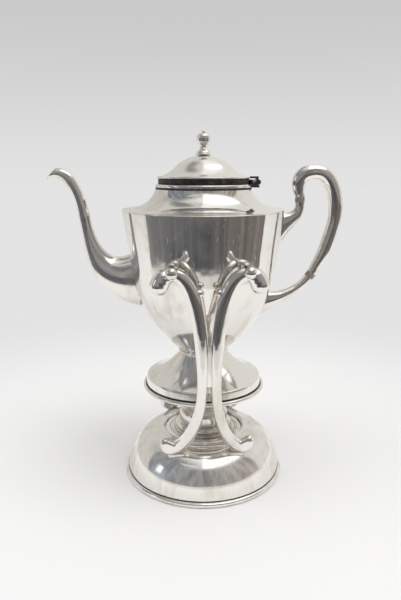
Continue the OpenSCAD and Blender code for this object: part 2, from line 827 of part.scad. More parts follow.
// Barrel lengths along Y, bored for the pin
module knuckle(from, to, bore) {
    translate([hinge_x, from, hinge_z]) rotate([-90, 0, 0]) difference() {
        cylinder(h = to - from, r = barrel_d / 2);
        translate([0, 0, -1]) cylinder(h = to - from + 2, r = bore);
    }
}

// Leaf on the pot: one plate along the rim with a knuckle at each end
module hinge_leaf_pot() {
    plate_top = hinge_z - barrel_d / 2 - 0.4;
    color("silver") difference() {
        union() {
            translate([neck_r - 2, -barrel_len / 2, neck_z + 1])
                cube([hinge_x - neck_r + 3, barrel_len, plate_top - neck_z - 1]);
            for (side = [-1, 1]) {
                from = side > 0 ? barrel_len / 2 - knuckle_side : -barrel_len / 2;
                translate([neck_r - 2, from, neck_z + 1])
                    cube([hinge_x - neck_r + 2, knuckle_side, hinge_z - barrel_d / 2 - neck_z + 0.2]);
                knuckle(from, from + knuckle_side, pin_r);
            }
        }
        hinge_bore(pin_r);
        translate([0, 0, neck_z - 1]) cylinder(h = 20, r = neck_r - 0.2);
        rotate_extrude() rim_section();
    }
}

module hinge_pin() {
    color("silver") translate([hinge_x, -barrel_len / 2 - 0.6, hinge_z]) rotate([-90, 0, 0])
        cylinder(h = barrel_len + 1.2, r = pin_r);
}

module hinge_leaf_lid() {
    half = barrel_len / 2 - knuckle_side - knuckle_gap;
    web_z = hinge_z + barrel_d / 2 - 0.4;
    color("silver") {
        knuckle(-half, half, pin_r + run_gap);
        difference() {
            translate([lid_r - 1.5, -half, lid_z]) cube([hinge_x - lid_r + 2.5, 2 * half, lid_rim_t]);
            translate([0, 0, lid_z - 1]) cylinder(h = lid_rim_t + 2, r = lid_r);
            hinge_bore(pin_r + run_gap);
        }
        translate([hinge_x - 1, -half, web_z]) cube([2, 2 * half, lid_z - web_z + 0.2]);
    }
}

// Lid -------------------------------------------------------------------

lid_knee = [lid_r * 0.593, lid_z + lid_rim_t + lid_h * 0.47];
lid_slope = [1, -1.02] * lid_h * 0.42;
function lid_curve(inset) =
    let (knee = lid_knee - [inset, inset * 0.5])
    concat(
        curve2([lid_r - 1.2 - inset, lid_z + lid_rim_t], knee + lid_slope, knee, 9),
        [for (i = [1 : 10]) bezier2(knee, knee - lid_slope * 1.1, [lid_hole_r, lid_top - inset], i / 10)]);

module lid_dome() {
    color("silver") rotate_extrude() polygon(concat(lid_curve(0), reverse(lid_curve(sheet))));
}

module lid_rim() {
    edge_r = lid_rim_t / 2;
    color("silver") rotate_extrude() {
        translate([plug_r - sheet, lid_z]) square([lid_r - plug_r + sheet - edge_r, lid_rim_t]);
        translate([lid_r - edge_r, lid_z + edge_r]) circle(edge_r);
    }
}

module lid_plug() {
    color("silver") rotate_extrude() translate([plug_r - sheet, lid_z - plug_h]) square([sheet, plug_h]);
}

// Finial: a disc on the lid, a slim neck, a bulb that is widest near its top and a small bead
module lid_finial() {
    bulb_r = finial_d / 2;
    bulb_z = lid_top + finial_h * 0.72;
    bulb_top = bulb_z + finial_h * 0.18;
    neck_low = lid_top + finial_h * 0.2;
    neck_high = lid_top + finial_h * 0.36;
    bead_r = 1.6;
    color("silver") rotate_extrude() {
        polygon(concat([[0, lid_top - 0.8], [lid_hole_r, lid_top - 0.8], [lid_hole_r, lid_top]],
            [[bulb_r + 0.9, lid_top], [bulb_r + 0.9, lid_top + 1.2]],
            curve2([bulb_r + 0.1, lid_top + 1.6], [finial_neck_r, lid_top + 2], [finial_neck_r, neck_low], 6),
            curve3([[finial_neck_r, neck_high], [finial_neck_r + 0.8, neck_high + 1.8],
                [bulb_r + 0.3, bulb_z - 3.6], [bulb_r, bulb_z]], 8),
            [for (i = [1 : 7]) [bulb_r * cos(12.85 * i), mix(bulb_z, bulb_top, sin(12.85 * i))]],
            [[0, bulb_top]]));
        intersection() {
            translate([0, lid_top + finial_h - bead_r]) circle(bead_r);
            translate([0, bulb_z]) square([bulb_r, finial_h]);
        }
    }
}

module lid_finial_nut() {
    color("silver") translate([0, 0, lid_top - sheet - 2.6]) rotate_extrude() {
        translate([0, 0]) square([4.2, 1.8]);
        translate([0, 1.8]) square([lid_hole_r - 0.2, 1.2]);
    }
}

base_dome();
base_wire_ring();
burner_collar();
arm_front_left();
arm_front_right();
arm_rear_left();
arm_rear_right();
arm_bridge_front();
arm_bridge_rear();
burner_tank();
burner_flange();
burner_wick_tube();
burner_wick();
snuffer_cap();
snuffer_knob();
pot_foot();
pot_foot_wire();
pot_waist();
pot_bowl();
pot_neck();
pot_rim();
pot_bezel();
pot_spout();
pot_strainer();
handle_socket_upper();
handle_ring_upper();
handle_grip();
handle_ring_lower();
handle_socket_lower();
handle_pin_upper();
handle_pin_lower();
boss_front_left();
boss_front_right();
boss_rear_left();
boss_rear_right();
pivot_front();
pivot_rear();
rest_peg_front();
rest_peg_rear();
hinge_leaf_pot();
hinge_pin();
hinge_leaf_lid();
lid_dome();
lid_rim();
lid_plug();
lid_finial();
lid_finial_nut();
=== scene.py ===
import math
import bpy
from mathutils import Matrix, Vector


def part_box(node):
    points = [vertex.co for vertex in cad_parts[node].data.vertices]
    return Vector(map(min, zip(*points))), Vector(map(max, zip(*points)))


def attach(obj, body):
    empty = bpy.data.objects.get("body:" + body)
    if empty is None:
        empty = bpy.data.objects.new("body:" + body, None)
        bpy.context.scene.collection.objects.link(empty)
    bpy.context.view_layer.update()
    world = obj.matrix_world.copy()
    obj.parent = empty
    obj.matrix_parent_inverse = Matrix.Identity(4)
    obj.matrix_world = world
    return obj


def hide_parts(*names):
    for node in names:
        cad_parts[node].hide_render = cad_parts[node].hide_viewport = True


bl_info = {
    "name": "Tilting Coffee Pot",
    "version": (1, 0, 0),
    "blender": (4, 5, 0),
    "location": "View3D > Sidebar > Coffee Pot",
    "description": "Dresses a silver-plated coffee pot that hangs in its lamp stand",
    "category": "Add Mesh",
}

import types

import bmesh
import bpy
from mathutils import Matrix, Vector

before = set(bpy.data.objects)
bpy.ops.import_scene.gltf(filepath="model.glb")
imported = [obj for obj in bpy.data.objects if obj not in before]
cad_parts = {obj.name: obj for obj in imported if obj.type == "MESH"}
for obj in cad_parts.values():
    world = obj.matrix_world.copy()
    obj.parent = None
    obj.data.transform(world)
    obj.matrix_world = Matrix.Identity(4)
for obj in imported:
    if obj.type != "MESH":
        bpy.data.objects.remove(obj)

# Lengths are in millimetres unless a comment says otherwise
MM = 0.001

# Shape of the pot and its stand
BOWL_RADIUS = 64.5
BOWL_RISE = 75.5
ELLIPSE_RISE = BOWL_RISE + 2.5
FLOOR_RISE = 5.5
SPOUT_RISE = 70.0
ARM_MIDDLE = -72.2
DOME_FOOT = 4

# Camera, in metres and degrees
CAMERA_LENS = 32.78
CAMERA_TURN = -3.7
CAMERA_TILT = 13.52
CAMERA_AWAY, CAMERA_ASIDE, CAMERA_UP = 0.4944, -0.0027, 0.2871

# Stage, in metres: half widths of the paper's rounded edge, its height and where the front opens
PAPER_REACH = (0.50, 0.40)
LIP_HEIGHT = 0.034
OPENING_Y = -0.02
PALE = (0.775, 0.772, 0.772, 1)
UPPER_PALE = (0.585, 0.583, 0.588, 1)
WHITE_WALL = (0.76, 0.75, 0.72, 1)
SHADED_WALL = (0.62, 0.61, 0.58, 1)
# Tones of the dim room in front, from left to right: on its table and on its walls
TABLE_TONES = ((0.125, 0.13, 0.145), (0.075, 0.08, 0.095), (0.052, 0.053, 0.056),
               (0.125, 0.113, 0.104), (0.15, 0.13, 0.12))
ROOM_TONES = ((0.165, 0.185, 0.22), (0.215, 0.22, 0.23), (0.17, 0.167, 0.165),
              (0.28, 0.27, 0.26), (0.33, 0.285, 0.255))

# Wear of each finish: scratches, pits, dents, tarnish, roughness, haze and brightness; a brightness below one darkens
# the plate as painted shade, as on the hinge
PLATE_WEAR_AND_SHADE = {
    "Base plate": (1.2, 1.8, 1.0, 1.35, 0.09, 0.15, 1.0),
    "Burner plate": (1.0, 0.6, 1.0, 2.6, 0.14, 0.05, 1.0),
    "Body plate": (1.6, 1.6, 1.0, 1.3, 0.07, 0.07, 1.0),
    "Foot plate": (1.0, 1.2, 1.0, 1.3, 0.12, 0.09, 1.0),
    "Lid plate": (0.8, 0.5, 1.0, 0.9, 0.15, 0.12, 1.0),
    "Spout plate": (1.0, 0.9, 1.0, 1.2, 0.1, 0.08, 1.0),
    "Handle plate": (1.3, 1.0, 1.0, 1.2, 0.09, 0.04, 1.0),
    "Peg plate": (0.6, 0.4, 1.0, 1.2, 0.06, 0.03, 1.0),
    "Arm plate": (0.7, 0.7, 1.2, 1.2, 0.08, 0.05, 1.0),
    "Small parts plate": (0.5, 0.5, 1.0, 1.6, 0.12, 0.03, 1.0),
    "Hinge plate": (0.5, 0.8, 1.0, 3.0, 0.3, 0.1, 0.16),
}


def high(node):
    """Highest corner of a frame node."""
    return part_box(node)[1] / MM


def low(node):
    """Lowest corner of a frame node."""
    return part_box(node)[0] / MM


# Sizes and colours ----------------------------------------------------------


class CoffeePotSizes(bpy.types.PropertyGroup):
    """Sizes that the pieces are built from."""

    base_radius: bpy.props.FloatProperty(
        name="Base radius", description="Radius of the base's sheet at the table",
        default=high("base_dome").x * MM, unit="LENGTH", precision=4)
    base_height: bpy.props.FloatProperty(
        name="Base height", description="Height of the base's shoulder",
        default=high("base_dome").z * MM, unit="LENGTH", precision=4)
    shoulder_radius: bpy.props.FloatProperty(
        name="Shoulder radius", description="Radius of the pot at its sharp shoulder edge",
        default=high("pot_neck").x * MM, unit="LENGTH", precision=4)
    shoulder_height: bpy.props.FloatProperty(
        name="Shoulder height", description="Height of the shoulder edge above the table",
        default=high("pot_bowl").z * MM, unit="LENGTH", precision=4)
    foot_height: bpy.props.FloatProperty(
        name="Foot height", description="Height of the foot's lower edge above the table",
        default=low("pot_foot").z * MM, unit="LENGTH", precision=4)
    waist_height: bpy.props.FloatProperty(
        name="Waist height", description="Height of the waist above the table",
        default=high("pot_foot").z * MM, unit="LENGTH", precision=4)
    sheet: bpy.props.FloatProperty(
        name="Sheet", description="Thickness of the raised metal",
        default=0.0012, unit="LENGTH", precision=4)
    segments: bpy.props.IntProperty(
        name="Segments", description="Faces round each spun piece", default=256, min=48)


class CoffeePotFinish(bpy.types.PropertyGroup):
    """Colours of the finishes."""

    silver: bpy.props.FloatVectorProperty(
        name="Silver", description="Colour of the polished plate", subtype="COLOR",
        size=4, min=0, max=1, default=(0.88, 0.855, 0.815, 1))
    tarnish: bpy.props.FloatVectorProperty(
        name="Tarnish", description="Colour of the tarnish in hollows", subtype="COLOR",
        size=4, min=0, max=1, default=(0.50, 0.43, 0.33, 1))
    insulator: bpy.props.FloatVectorProperty(
        name="Insulator", description="Colour of the heat rings in the handle", subtype="COLOR",
        size=4, min=0, max=1, default=(0.15, 0.125, 0.105, 1))
    cotton: bpy.props.FloatVectorProperty(
        name="Cotton", description="Colour of the wick", subtype="COLOR",
        size=4, min=0, max=1, default=(0.78, 0.72, 0.60, 1))


# Curves and outlines --------------------------------------------------------


def blend_points(a, b, t):
    return [u + (v - u) * t for u, v in zip(a, b)]


def bezier(points, steps, first=0):
    """Points along a Bezier curve. Each point may carry half widths, which are blended too."""
    out = []
    for i in range(first, steps + 1):
        level = [list(p) for p in points]
        while len(level) > 1:
            level = [blend_points(a, b, i / steps) for a, b in zip(level, level[1:])]
        out.append(level[0])
    return out


def station(point, width, depth, offset=None):
    """A point of a swept path with its half widths."""
    return [*(point + Vector(offset) if offset else point), width, depth]


def chain(start, *legs):
    """Bezier curves laid end to end. Each leg holds its steps and then its further stations."""
    out = [station(*start)]
    start = out[0]
    for steps, *stops in legs:
        stations = [station(*stop) for stop in stops]
        out += bezier([start] + stations, steps, 1)
        start = stations[-1]
    return out


def arc(centre, radius, start, end, steps):
    """Points on a circle, with the angles in degrees from the outward direction."""
    turns = [math.radians(start + (end - start) * i / steps) for i in range(steps + 1)]
    return [(centre[0] + radius * math.cos(a), centre[1] + radius * math.sin(a)) for a in turns]


def eased(outline, closed):
    """Turns each corner that carries a radius into an arc, with a guard point on each side."""
    most, guard, steps = 0.36, 1.3, 4
    out = []
    count = len(outline)
    for i, point in enumerate(outline):
        corner = Vector(point[:2])
        radius = point[2] if len(point) > 2 else 0
        if radius == 0 or (not closed and i in (0, count - 1)):
            out.append(tuple(corner))
            continue
        before = Vector(outline[i - 1][:2]) - corner
        after = Vector(outline[(i + 1) % count][:2]) - corner
        reach = min(radius, most * before.length, most * after.length)
        start = corner + before.normalized() * reach
        end = corner + after.normalized() * reach
        out.append(tuple(corner + before.normalized() * reach * guard))
        for t in [k / steps for k in range(steps + 1)]:
            out.append(tuple(start * (1 - t) ** 2 + corner * 2 * t * (1 - t) + end * t * t))
        out.append(tuple(corner + after.normalized() * reach * guard))
    return out


# Node trees -----------------------------------------------------------------


class Wires:
    """Adds nodes to a tree and joins them. An input may be given as a socket or as a plain value."""

    def __init__(self, tree):
        self.tree = tree

    def put(self, socket, value):
        if isinstance(value, bpy.types.NodeSocket):
            self.tree.links.new(value, socket)
        else:
            socket.default_value = value

    def join(self, node, inputs):
        for name, value in inputs.items():
            if value is not None:
                self.put(node.inputs[name], value)

    def node(self, kind, inputs=None, **settings):
        node = self.tree.nodes.new(kind)
        for name, value in settings.items():
            setattr(node, name, value)
        self.join(node, inputs or {})
        return node

    def out(self, kind, inputs=None, **settings):
        """First output of a new node."""
        return self.node(kind, inputs, **settings).outputs[0]

    def math(self, operation, a, b=None, c=None):
        return self.out("ShaderNodeMath", {0: a, 1: b, 2: c}, operation=operation)

    def times(self, a, b):
        return self.math("MULTIPLY", a, b)

    def vector(self, operation, a, b=None, scale=None):
        node = self.node("ShaderNodeVectorMath", {0: a, 1: b, "Scale": scale}, operation=operation)
        return node.outputs["Value" if operation in ("LENGTH", "DOT_PRODUCT") else "Vector"]

    def split(self, vector):
        return self.node("ShaderNodeSeparateXYZ", {0: vector}).outputs

    def smooth(self, value, start, end, low_value=0.0, high_value=1.0):
        """Smooth step of a value between two limits."""
        limits = {"From Min": start, "From Max": end, "To Min": low_value, "To Max": high_value}
        return self.out("ShaderNodeMapRange", {"Value": value, **limits}, interpolation_type="SMOOTHSTEP")

    def noise(self, vector, scale, detail=2.0, roughness=0.5, distortion=0.0):
        return self.out("ShaderNodeTexNoise", {
            "Vector": vector, "Scale": scale, "Detail": detail, "Roughness": roughness, "Distortion": distortion})

    def cells(self, vector, scale):
        return self.out("ShaderNodeTexVoronoi", {"Vector": vector, "Scale": scale})

    def stretched(self, vector, factors, turn=(0, 0, 0)):
        return self.out("ShaderNodeMapping", {"Vector": vector, "Rotation": turn, "Scale": factors})

    def here(self):
        """Coordinates in the object's own space."""
        return self.node("ShaderNodeTexCoord").outputs["Object"]

    def mix(self, factor, a, b):
        """Colour between two others."""
        node = self.node("ShaderNodeMix", data_type="RGBA")
        for name, value in (("Factor", factor), ("A", a), ("B", b)):
            self.put(next(s for s in node.inputs if s.name == name and s.enabled), value)
        return next(s for s in node.outputs if s.enabled)

    def either(self, factor, a, b):
        """Shader a where the factor is 0 and shader b where it is 1."""
        return self.out("ShaderNodeMixShader", {0: factor, 1: a, 2: b})

    def emission(self, colour):
        return self.out("ShaderNodeEmission", {"Color": colour})

    def bump(self, height, distance):
        return self.out("ShaderNodeBump", {"Height": height, "Distance": distance})

    def settle(self, geometry, finish, leave):
        """Smooths a tree's result, makes it real, gives it its finish and hands it out."""
        smooth = self.out("GeometryNodeSetShadeSmooth", {"Geometry": geometry})
        real = self.out("GeometryNodeRealizeInstances", {"Geometry": smooth})
        self.put(leave["Geometry"], self.out("GeometryNodeSetMaterial", {"Geometry": real, "Material": finish}))


def node_group(name, kind, inputs, outputs, fill):
    """Node group with (label, type, default) sockets, filled in by a function when it is new."""
    if name in bpy.data.node_groups:
        return bpy.data.node_groups[name]
    tree = bpy.data.node_groups.new(name, kind)
    for direction, sockets in (("INPUT", inputs), ("OUTPUT", outputs)):
        for label, socket_type, default in sockets:
            socket = tree.interface.new_socket(label, in_out=direction, socket_type="NodeSocket" + socket_type)
            if default is not None:
                socket.default_value = default
    w = Wires(tree)
    fill(w, w.node("NodeGroupInput").outputs, w.node("NodeGroupOutput").inputs)
    return tree


def spun_tree():
    """Tree that turns an outline in the XZ plane about the Z axis."""
    path_radius = 0.01

    def fill(w, entry, leave):
        wire = w.out("GeometryNodeMeshToCurve", {"Mesh": entry["Outline"]})
        profile = w.out("GeometryNodeTransform", {"Geometry": wire, "Translation": (-path_radius, 0, 0)})
        circle = w.out("GeometryNodeCurvePrimitiveCircle", {"Resolution": entry["Segments"], "Radius": path_radius})
        sweep = w.out("GeometryNodeCurveToMesh", {"Curve": circle, "Profile Curve": profile})
        weld = w.out("GeometryNodeMergeByDistance", {"Geometry": sweep, "Distance": 2e-6})
        w.settle(weld, entry["Finish"], leave)

    return node_group(
        "Spun metal", "GeometryNodeTree",
        (("Outline", "Geometry", None), ("Segments", "Int", 128), ("Finish", "Material", None)),
        (("Geometry", "Geometry", None),), fill)


def swept_tree():
    """Tree that carries an oval section along a path whose points hold its half widths."""

    def fill(w, entry, leave):
        def named(attribute, kind):
            return w.node("GeometryNodeInputNamedAttribute", {"Name": attribute}, data_type=kind).outputs["Attribute"]

        def scaled(a, factor):
            return w.vector("SCALE", a, scale=factor)

        here = w.out("GeometryNodeInputPosition")
        wire = w.out("GeometryNodeMeshToCurve", {"Mesh": entry["Path"]})
        keep = w.out("GeometryNodeStoreNamedAttribute", {"Geometry": wire, "Name": "centre", "Value": here},
                     data_type="FLOAT_VECTOR")
        circle = w.out("GeometryNodeCurvePrimitiveCircle", {"Resolution": entry["Sides"], "Radius": 1.0})
        sweep = w.out("GeometryNodeCurveToMesh", {
            "Curve": keep, "Profile Curve": circle, "Fill Caps": entry["Closed Ends"]})
        # The circle is stretched to the two half widths, and is squarer where the power is below one
        centre = named("centre", "FLOAT_VECTOR")
        offset = w.vector("SUBTRACT", here, centre)
        deep = w.vector("DOT_PRODUCT", offset, (0.0, 1.0, 0.0))
        flat = w.vector("MULTIPLY", offset, (1.0, 0.0, 1.0))
        power = entry["Squareness"]
        deep_out = w.times(w.math("SIGN", deep), w.math("POWER", w.math("ABSOLUTE", deep), power))
        wide_out = w.math("POWER", w.vector("LENGTH", flat), power)
        across = scaled(scaled(w.vector("NORMALIZE", flat), wide_out), named("half_width", "FLOAT"))
        along = scaled(scaled((0.0, 1.0, 0.0), deep_out), named("half_depth", "FLOAT"))
        place = w.vector("ADD", centre, w.vector("ADD", across, along))
        moved = w.out("GeometryNodeSetPosition", {"Geometry": sweep, "Position": place})
        w.settle(moved, entry["Finish"], leave)

    return node_group(
        "Swept bar", "GeometryNodeTree",
        (("Path", "Geometry", None), ("Sides", "Int", 32), ("Squareness", "Float", 1.0),
         ("Closed Ends", "Bool", True), ("Finish", "Material", None)),
        (("Geometry", "Geometry", None),), fill)


# Meshes ---------------------------------------------------------------------


def scratch_object(mesh):
    obj = bpy.data.objects.new("scratch", mesh)
    bpy.context.scene.collection.objects.link(obj)
    return obj


def baked(obj, *helpers):
    """Plain mesh of an object with its modifiers; the object and its helpers are removed."""
    bpy.context.view_layer.update()
    mesh = bpy.data.meshes.new_from_object(obj.evaluated_get(bpy.context.evaluated_depsgraph_get()))
    for item in (obj,) + helpers:
        bpy.data.objects.remove(item)
    return mesh


def mesh_of(work, name):
    """New mesh that takes over a bmesh."""
    mesh = bpy.data.meshes.new(name)
    work.to_mesh(mesh)
    work.free()
    return mesh


def grown(source, tree, settings):
    """Plain mesh of a node tree's result on a source mesh."""
    obj = scratch_object(source)
    modifier = obj.modifiers.new("tree", "NODES")
    modifier.node_group = tree
    for item in tree.interface.items_tree:
        if item.item_type == "SOCKET" and item.in_out == "INPUT" and item.name in settings:
            modifier[item.identifier] = settings[item.name]
    return baked(obj)


def outward(mesh):
    """Merges doubles and turns the faces of a closed mesh outwards."""
    work = bmesh.new()
    work.from_mesh(mesh)
    bmesh.ops.remove_doubles(work, verts=work.verts, dist=1e-6)
    bmesh.ops.recalc_face_normals(work, faces=work.faces)
    if work.calc_volume(signed=True) < 0:
        bmesh.ops.reverse_faces(work, faces=work.faces)
    for part in work.faces:
        part.smooth = True
    work.to_mesh(mesh)
    work.free()
    return mesh


def spun(outline, finish, axis=None):
    """Mesh of an outline turned about the Z axis and then placed by a matrix."""
    closed = not (outline[0][0] == 0 and outline[-1][0] == 0)
    points = eased(outline, closed)
    source = bpy.data.meshes.new("outline")
    count = len(points)
    edges = [(i, (i + 1) % count) for i in range(count if closed else count - 1)]
    source.from_pydata([(r * MM, -z * MM, 0) for r, z in points], edges, [])
    segments = bpy.context.scene.pot_sizes.segments
    mesh = outward(grown(source, spun_tree(), {"Segments": segments, "Finish": finish}))
    if axis is not None:
        mesh.transform(axis)
        outward(mesh)
    return mesh


def swept(path, finish, sides=32, squareness=1.0, closed=True):
    """Mesh of an oval bar along a path of [x, y, z, half width, half depth]."""
    source = bpy.data.meshes.new("path")
    source.from_pydata([[v * MM for v in p[:3]] for p in path], [(i, i + 1) for i in range(len(path) - 1)], [])
    for name, column in (("half_width", 3), ("half_depth", 4)):
        layer = source.attributes.new(name, "FLOAT", "POINT")
        layer.data.foreach_set("value", [p[column] * MM for p in path])
    settings = {"Sides": sides, "Squareness": squareness, "Closed Ends": closed, "Finish": finish}
    mesh = grown(source, swept_tree(), settings)
    for name in ("half_width", "half_depth", "centre"):
        layer = mesh.attributes.get(name)
        if layer:
            mesh.attributes.remove(layer)
    return outward(mesh) if closed else mesh


def cut(mesh, *tools):
    """Mesh with other meshes taken away from it."""
    obj = scratch_object(mesh)
    helpers = [scratch_object(tool) for tool in tools]
    for helper in helpers:
        modifier = obj.modifiers.new("cut", "BOOLEAN")
        modifier.operation = "DIFFERENCE"
        modifier.solver = "EXACT"
        modifier.object = helper
    return baked(obj, *helpers)


def cast(meshes, voxel, passes):
    """Welds overlapping closed forms into one skin and smooths the joints, as in a casting."""
    work = bmesh.new()
    for mesh in meshes:
        work.from_mesh(mesh)
    obj = scratch_object(mesh_of(work, "joined"))
    weld = obj.modifiers.new("weld", "REMESH")
    weld.mode = "VOXEL"
    weld.voxel_size = voxel * MM
    weld.use_smooth_shade = True
    soft = obj.modifiers.new("soft", "SMOOTH")
    soft.factor = 0.5
    soft.iterations = passes
    return baked(obj)


def ball(centre, radius):
    work = bmesh.new()
    bmesh.ops.create_uvsphere(work, u_segments=48, v_segments=24, radius=radius * MM,
                              matrix=Matrix.Translation(Vector(centre) * MM))
    return mesh_of(work, "ball")


def along_y(x, z, side):
    """Matrix that lays a turned piece along Y at a peg, pointing away from the pot."""
    turn = Matrix.Rotation(math.radians(-90 * side), 4, "X")
    return Matrix.Translation((x * MM, 0, z * MM)) @ turn


def piece(name, mesh, body, node, finish):
    """Puts a finished mesh in the scene, riding on its body in place of its frame node."""
    obj = bpy.data.objects.new(name, mesh)
    bpy.context.scene.collection.objects.link(obj)
    if not mesh.materials:
        mesh.materials.append(finish)
    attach(obj, body)
    if node:
        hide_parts(node)


def turned(name, outline, body, node, finish):
    """Puts in a piece that is an outline turned about the Z axis."""
    piece(name, spun(outline, finish), body, node, finish)


def groove(name, profile, body):
    """Thin dark band round the Z axis: painted shade in a groove, with some tarnish."""
    turned(name, profile, body, None, shade_and_tarnish_finish())


# Finishes -------------------------------------------------------------------


def wear_group():
    """Polished plate's wear: hair scratches, pits, soft dents and tarnish."""

    def fill(w, entry, leave):
        where = w.here()
        # Hair scratches: thin lines in three directions, broken up by a coarse mask
        lines = None
        for turn, across, along in ((0.3, 2600, 60), (1.4, 2100, 50), (2.5, 1700, 70)):
            place = w.stretched(where, (across, along, along), (turn, turn * 0.7, turn * 1.9))
            line = w.smooth(w.noise(place, 1.0, 1.0), 0.66, 0.74)
            line = w.times(line, w.smooth(w.noise(where, 40 + 30 * turn, 1.0), 0.52, 0.66))
            lines = line if lines is None else w.math("MAXIMUM", lines, line)
        lines = w.times(lines, entry["Scratches"])
        # Pits: small dark dots where the plate has worn
        dot = w.smooth(w.cells(where, 190), 0.05, 0.11, 1.0, 0.0)
        crowd = w.smooth(w.noise(where, 26), 0.52, 0.64)
        pits = w.times(w.times(dot, crowd), entry["Pits"])
        # Tarnish: cloudy film with streaks that run down
        film = w.smooth(w.noise(w.stretched(where, (1, 1, 0.45)), 34, 5.0, 0.62, 0.4), 0.46, 0.74)
        film = w.times(film, entry["Tarnish"])
        w.put(leave["Tarnish Mask"], w.math("MAXIMUM", w.times(film, 0.45), pits))
        rough = w.math("ADD", w.times(film, 0.05), w.times(lines, 0.18))
        w.put(leave["Roughness"], w.math("ADD", rough, w.times(pits, 0.3)))
        # Height: broad planishing waves, then scratches and pits
        wave = w.times(w.noise(where, 55), entry["Dents"])
        height = w.math("SUBTRACT", w.times(wave, 0.5), w.times(lines, 0.02))
        w.put(leave["Height"], w.math("SUBTRACT", height, w.times(pits, 0.08)))

    return node_group(
        "Plate wear", "ShaderNodeTree", [(label, "Float", 1.0) for label in ("Scratches", "Pits", "Dents", "Tarnish")],
        [(label, "Float", None) for label in ("Tarnish Mask", "Roughness", "Height")], fill)


def finish_of(name, fill):
    """Material that a function of its wires and its shader fills in when it is new."""
    if name in bpy.data.materials:
        return bpy.data.materials[name]
    material = bpy.data.materials.new(name)
    material.use_nodes = True
    fill(Wires(material.node_tree), material.node_tree.nodes["Principled BSDF"])
    return material


def tinted(colour, factor):
    return tuple(min(1, v * factor) for v in colour[:3]) + (1,)


def silver_finish(name):
    """Silver plate with its own amounts of wear; haze is the dull film left by age, and a brightness below one darkens
    the colour as painted shade.
    """
    scratches, pits, dents, tarnish, rough, haze, bright = PLATE_WEAR_AND_SHADE[name]
    relief = 0.0003
    even_haze, patchy_haze = 0.6 * haze, 3.2 * haze

    def fill(w, shader):
        colours = bpy.context.scene.pot_finish
        amounts = {"Scratches": scratches, "Pits": pits, "Dents": dents, "Tarnish": tarnish}
        wear = w.node("ShaderNodeGroup", amounts, node_tree=wear_group()).outputs
        mask = wear["Tarnish Mask"]
        film = w.math("MULTIPLY_ADD", mask, patchy_haze, even_haze)
        w.join(shader, {
            "Base Color": w.mix(mask, tinted(colours.silver, bright), tinted(colours.tarnish, bright)),
            "Metallic": w.math("SUBTRACT", 1.0, film),
            "Roughness": w.math("ADD", wear["Roughness"], rough),
            "Normal": w.bump(wear["Height"], relief)})

    return finish_of(name, fill)


def insulator_finish():
    """Aged, smooth heat ring with a fine grain and a soft gloss."""

    def fill(w, shader):
        grain = w.noise(w.stretched(w.here(), (1, 1, 6)), 160, 4.0)
        base = tuple(bpy.context.scene.pot_finish.insulator)
        w.join(shader, {
            "Base Color": w.mix(grain, base, tinted(base, 1.9)),
            "Roughness": w.smooth(grain, 0.3, 0.7, 0.25, 0.45),
            "Coat Weight": 0.3, "Normal": w.bump(grain, 0.0001)})

    return finish_of("Insulator", fill)


def cotton_finish():
    """Braided cotton with a scorched upper end."""

    def fill(w, shader):
        where = w.here()
        strands = w.cells(where, 900)
        top = high("burner_wick").z * MM
        burnt = w.smooth(w.split(where)["Z"], top - 0.004, top)
        base = tuple(bpy.context.scene.pot_finish.cotton)
        w.join(shader, {
            "Base Color": w.mix(burnt, w.mix(strands, base, tinted(base, 0.6)), (0.05, 0.04, 0.035, 1)),
            "Roughness": w.smooth(strands, 0.0, 0.6, 0.8, 0.95),
            "Normal": w.bump(strands, 0.0003)})

    return finish_of("Cotton wick", fill)


def shade_and_tarnish_finish():
    """Near-black painted shade for grooves and recesses, with some tarnish in it."""

    def fill(w, shader):
        shade_mottle = w.noise(w.here(), 260, 4.0, 0.6)
        w.join(shader, {
            "Base Color": w.mix(w.smooth(shade_mottle, 0.45, 0.75), (0.012, 0.011, 0.010, 1), (0.07, 0.06, 0.05, 1)),
            "Roughness": w.smooth(shade_mottle, 0.3, 0.7, 0.45, 0.7)})

    return finish_of("Painted groove shade and tarnish", fill)


# Shared shape of the pot ----------------------------------------------------


def shape():
    """Sizes that several pieces share."""
    sizes = bpy.context.scene.pot_sizes
    return types.SimpleNamespace(
        sheet=sizes.sheet / MM,
        waist_z=sizes.waist_height / MM,
        foot_z=sizes.foot_height / MM,
        shoulder_z=sizes.shoulder_height / MM,
        shoulder_r=sizes.shoulder_radius / MM,
        bowl_top=sizes.waist_height / MM + BOWL_RISE,
        base_r=sizes.base_radius / MM,
        base_h=sizes.base_height / MM)


def body_radius(z):
    """Radius of the pot's body at a height: a slight flare above, a quarter ellipse below."""
    s = shape()
    flare = BOWL_RADIUS + (s.shoulder_r - BOWL_RADIUS) * (z - s.bowl_top) / (s.shoulder_z - s.bowl_top)
    if z >= s.bowl_top:
        return flare
    return flare * math.sqrt(max(0, 1 - ((s.bowl_top - z) / ELLIPSE_RISE) ** 2))


def bowl_points(start, inset, steps=72):
    """Outline of the bowl from a height up to where its flare begins, even in arc length."""
    top = shape().bowl_top
    first = math.asin((top - start) / ELLIPSE_RISE)
    heights = [top - ELLIPSE_RISE * math.sin(first * (1 - i / steps)) for i in range(steps + 1)]
    return [(body_radius(z) - inset, z) for z in heights]


def bowl_block():
    """Solid mesh of the bowl's outside, for trimming what is joined to it."""
    s = shape()
    floor_z = s.waist_z + FLOOR_RISE
    rim = [(s.shoulder_r, s.shoulder_z), (0, s.shoulder_z)]
    return spun([(0, floor_z)] + bowl_points(floor_z, 0.0) + rim, None)


def base_points(inset, steps=48):
    """Outline of the base's dome: a quarter ellipse from the wall up to the collar."""
    s = shape()
    collar_r = high("burner_collar").x - 0.4
    wide, tall = s.base_r - inset - collar_r, s.base_h - DOME_FOOT - inset
    turns = [math.pi / 2 * i / steps for i in range(steps + 1)]
    return [(collar_r + wide * math.cos(a), DOME_FOOT + tall * math.sin(a)) for a in turns]


# Pieces ---------------------------------------------------------------------


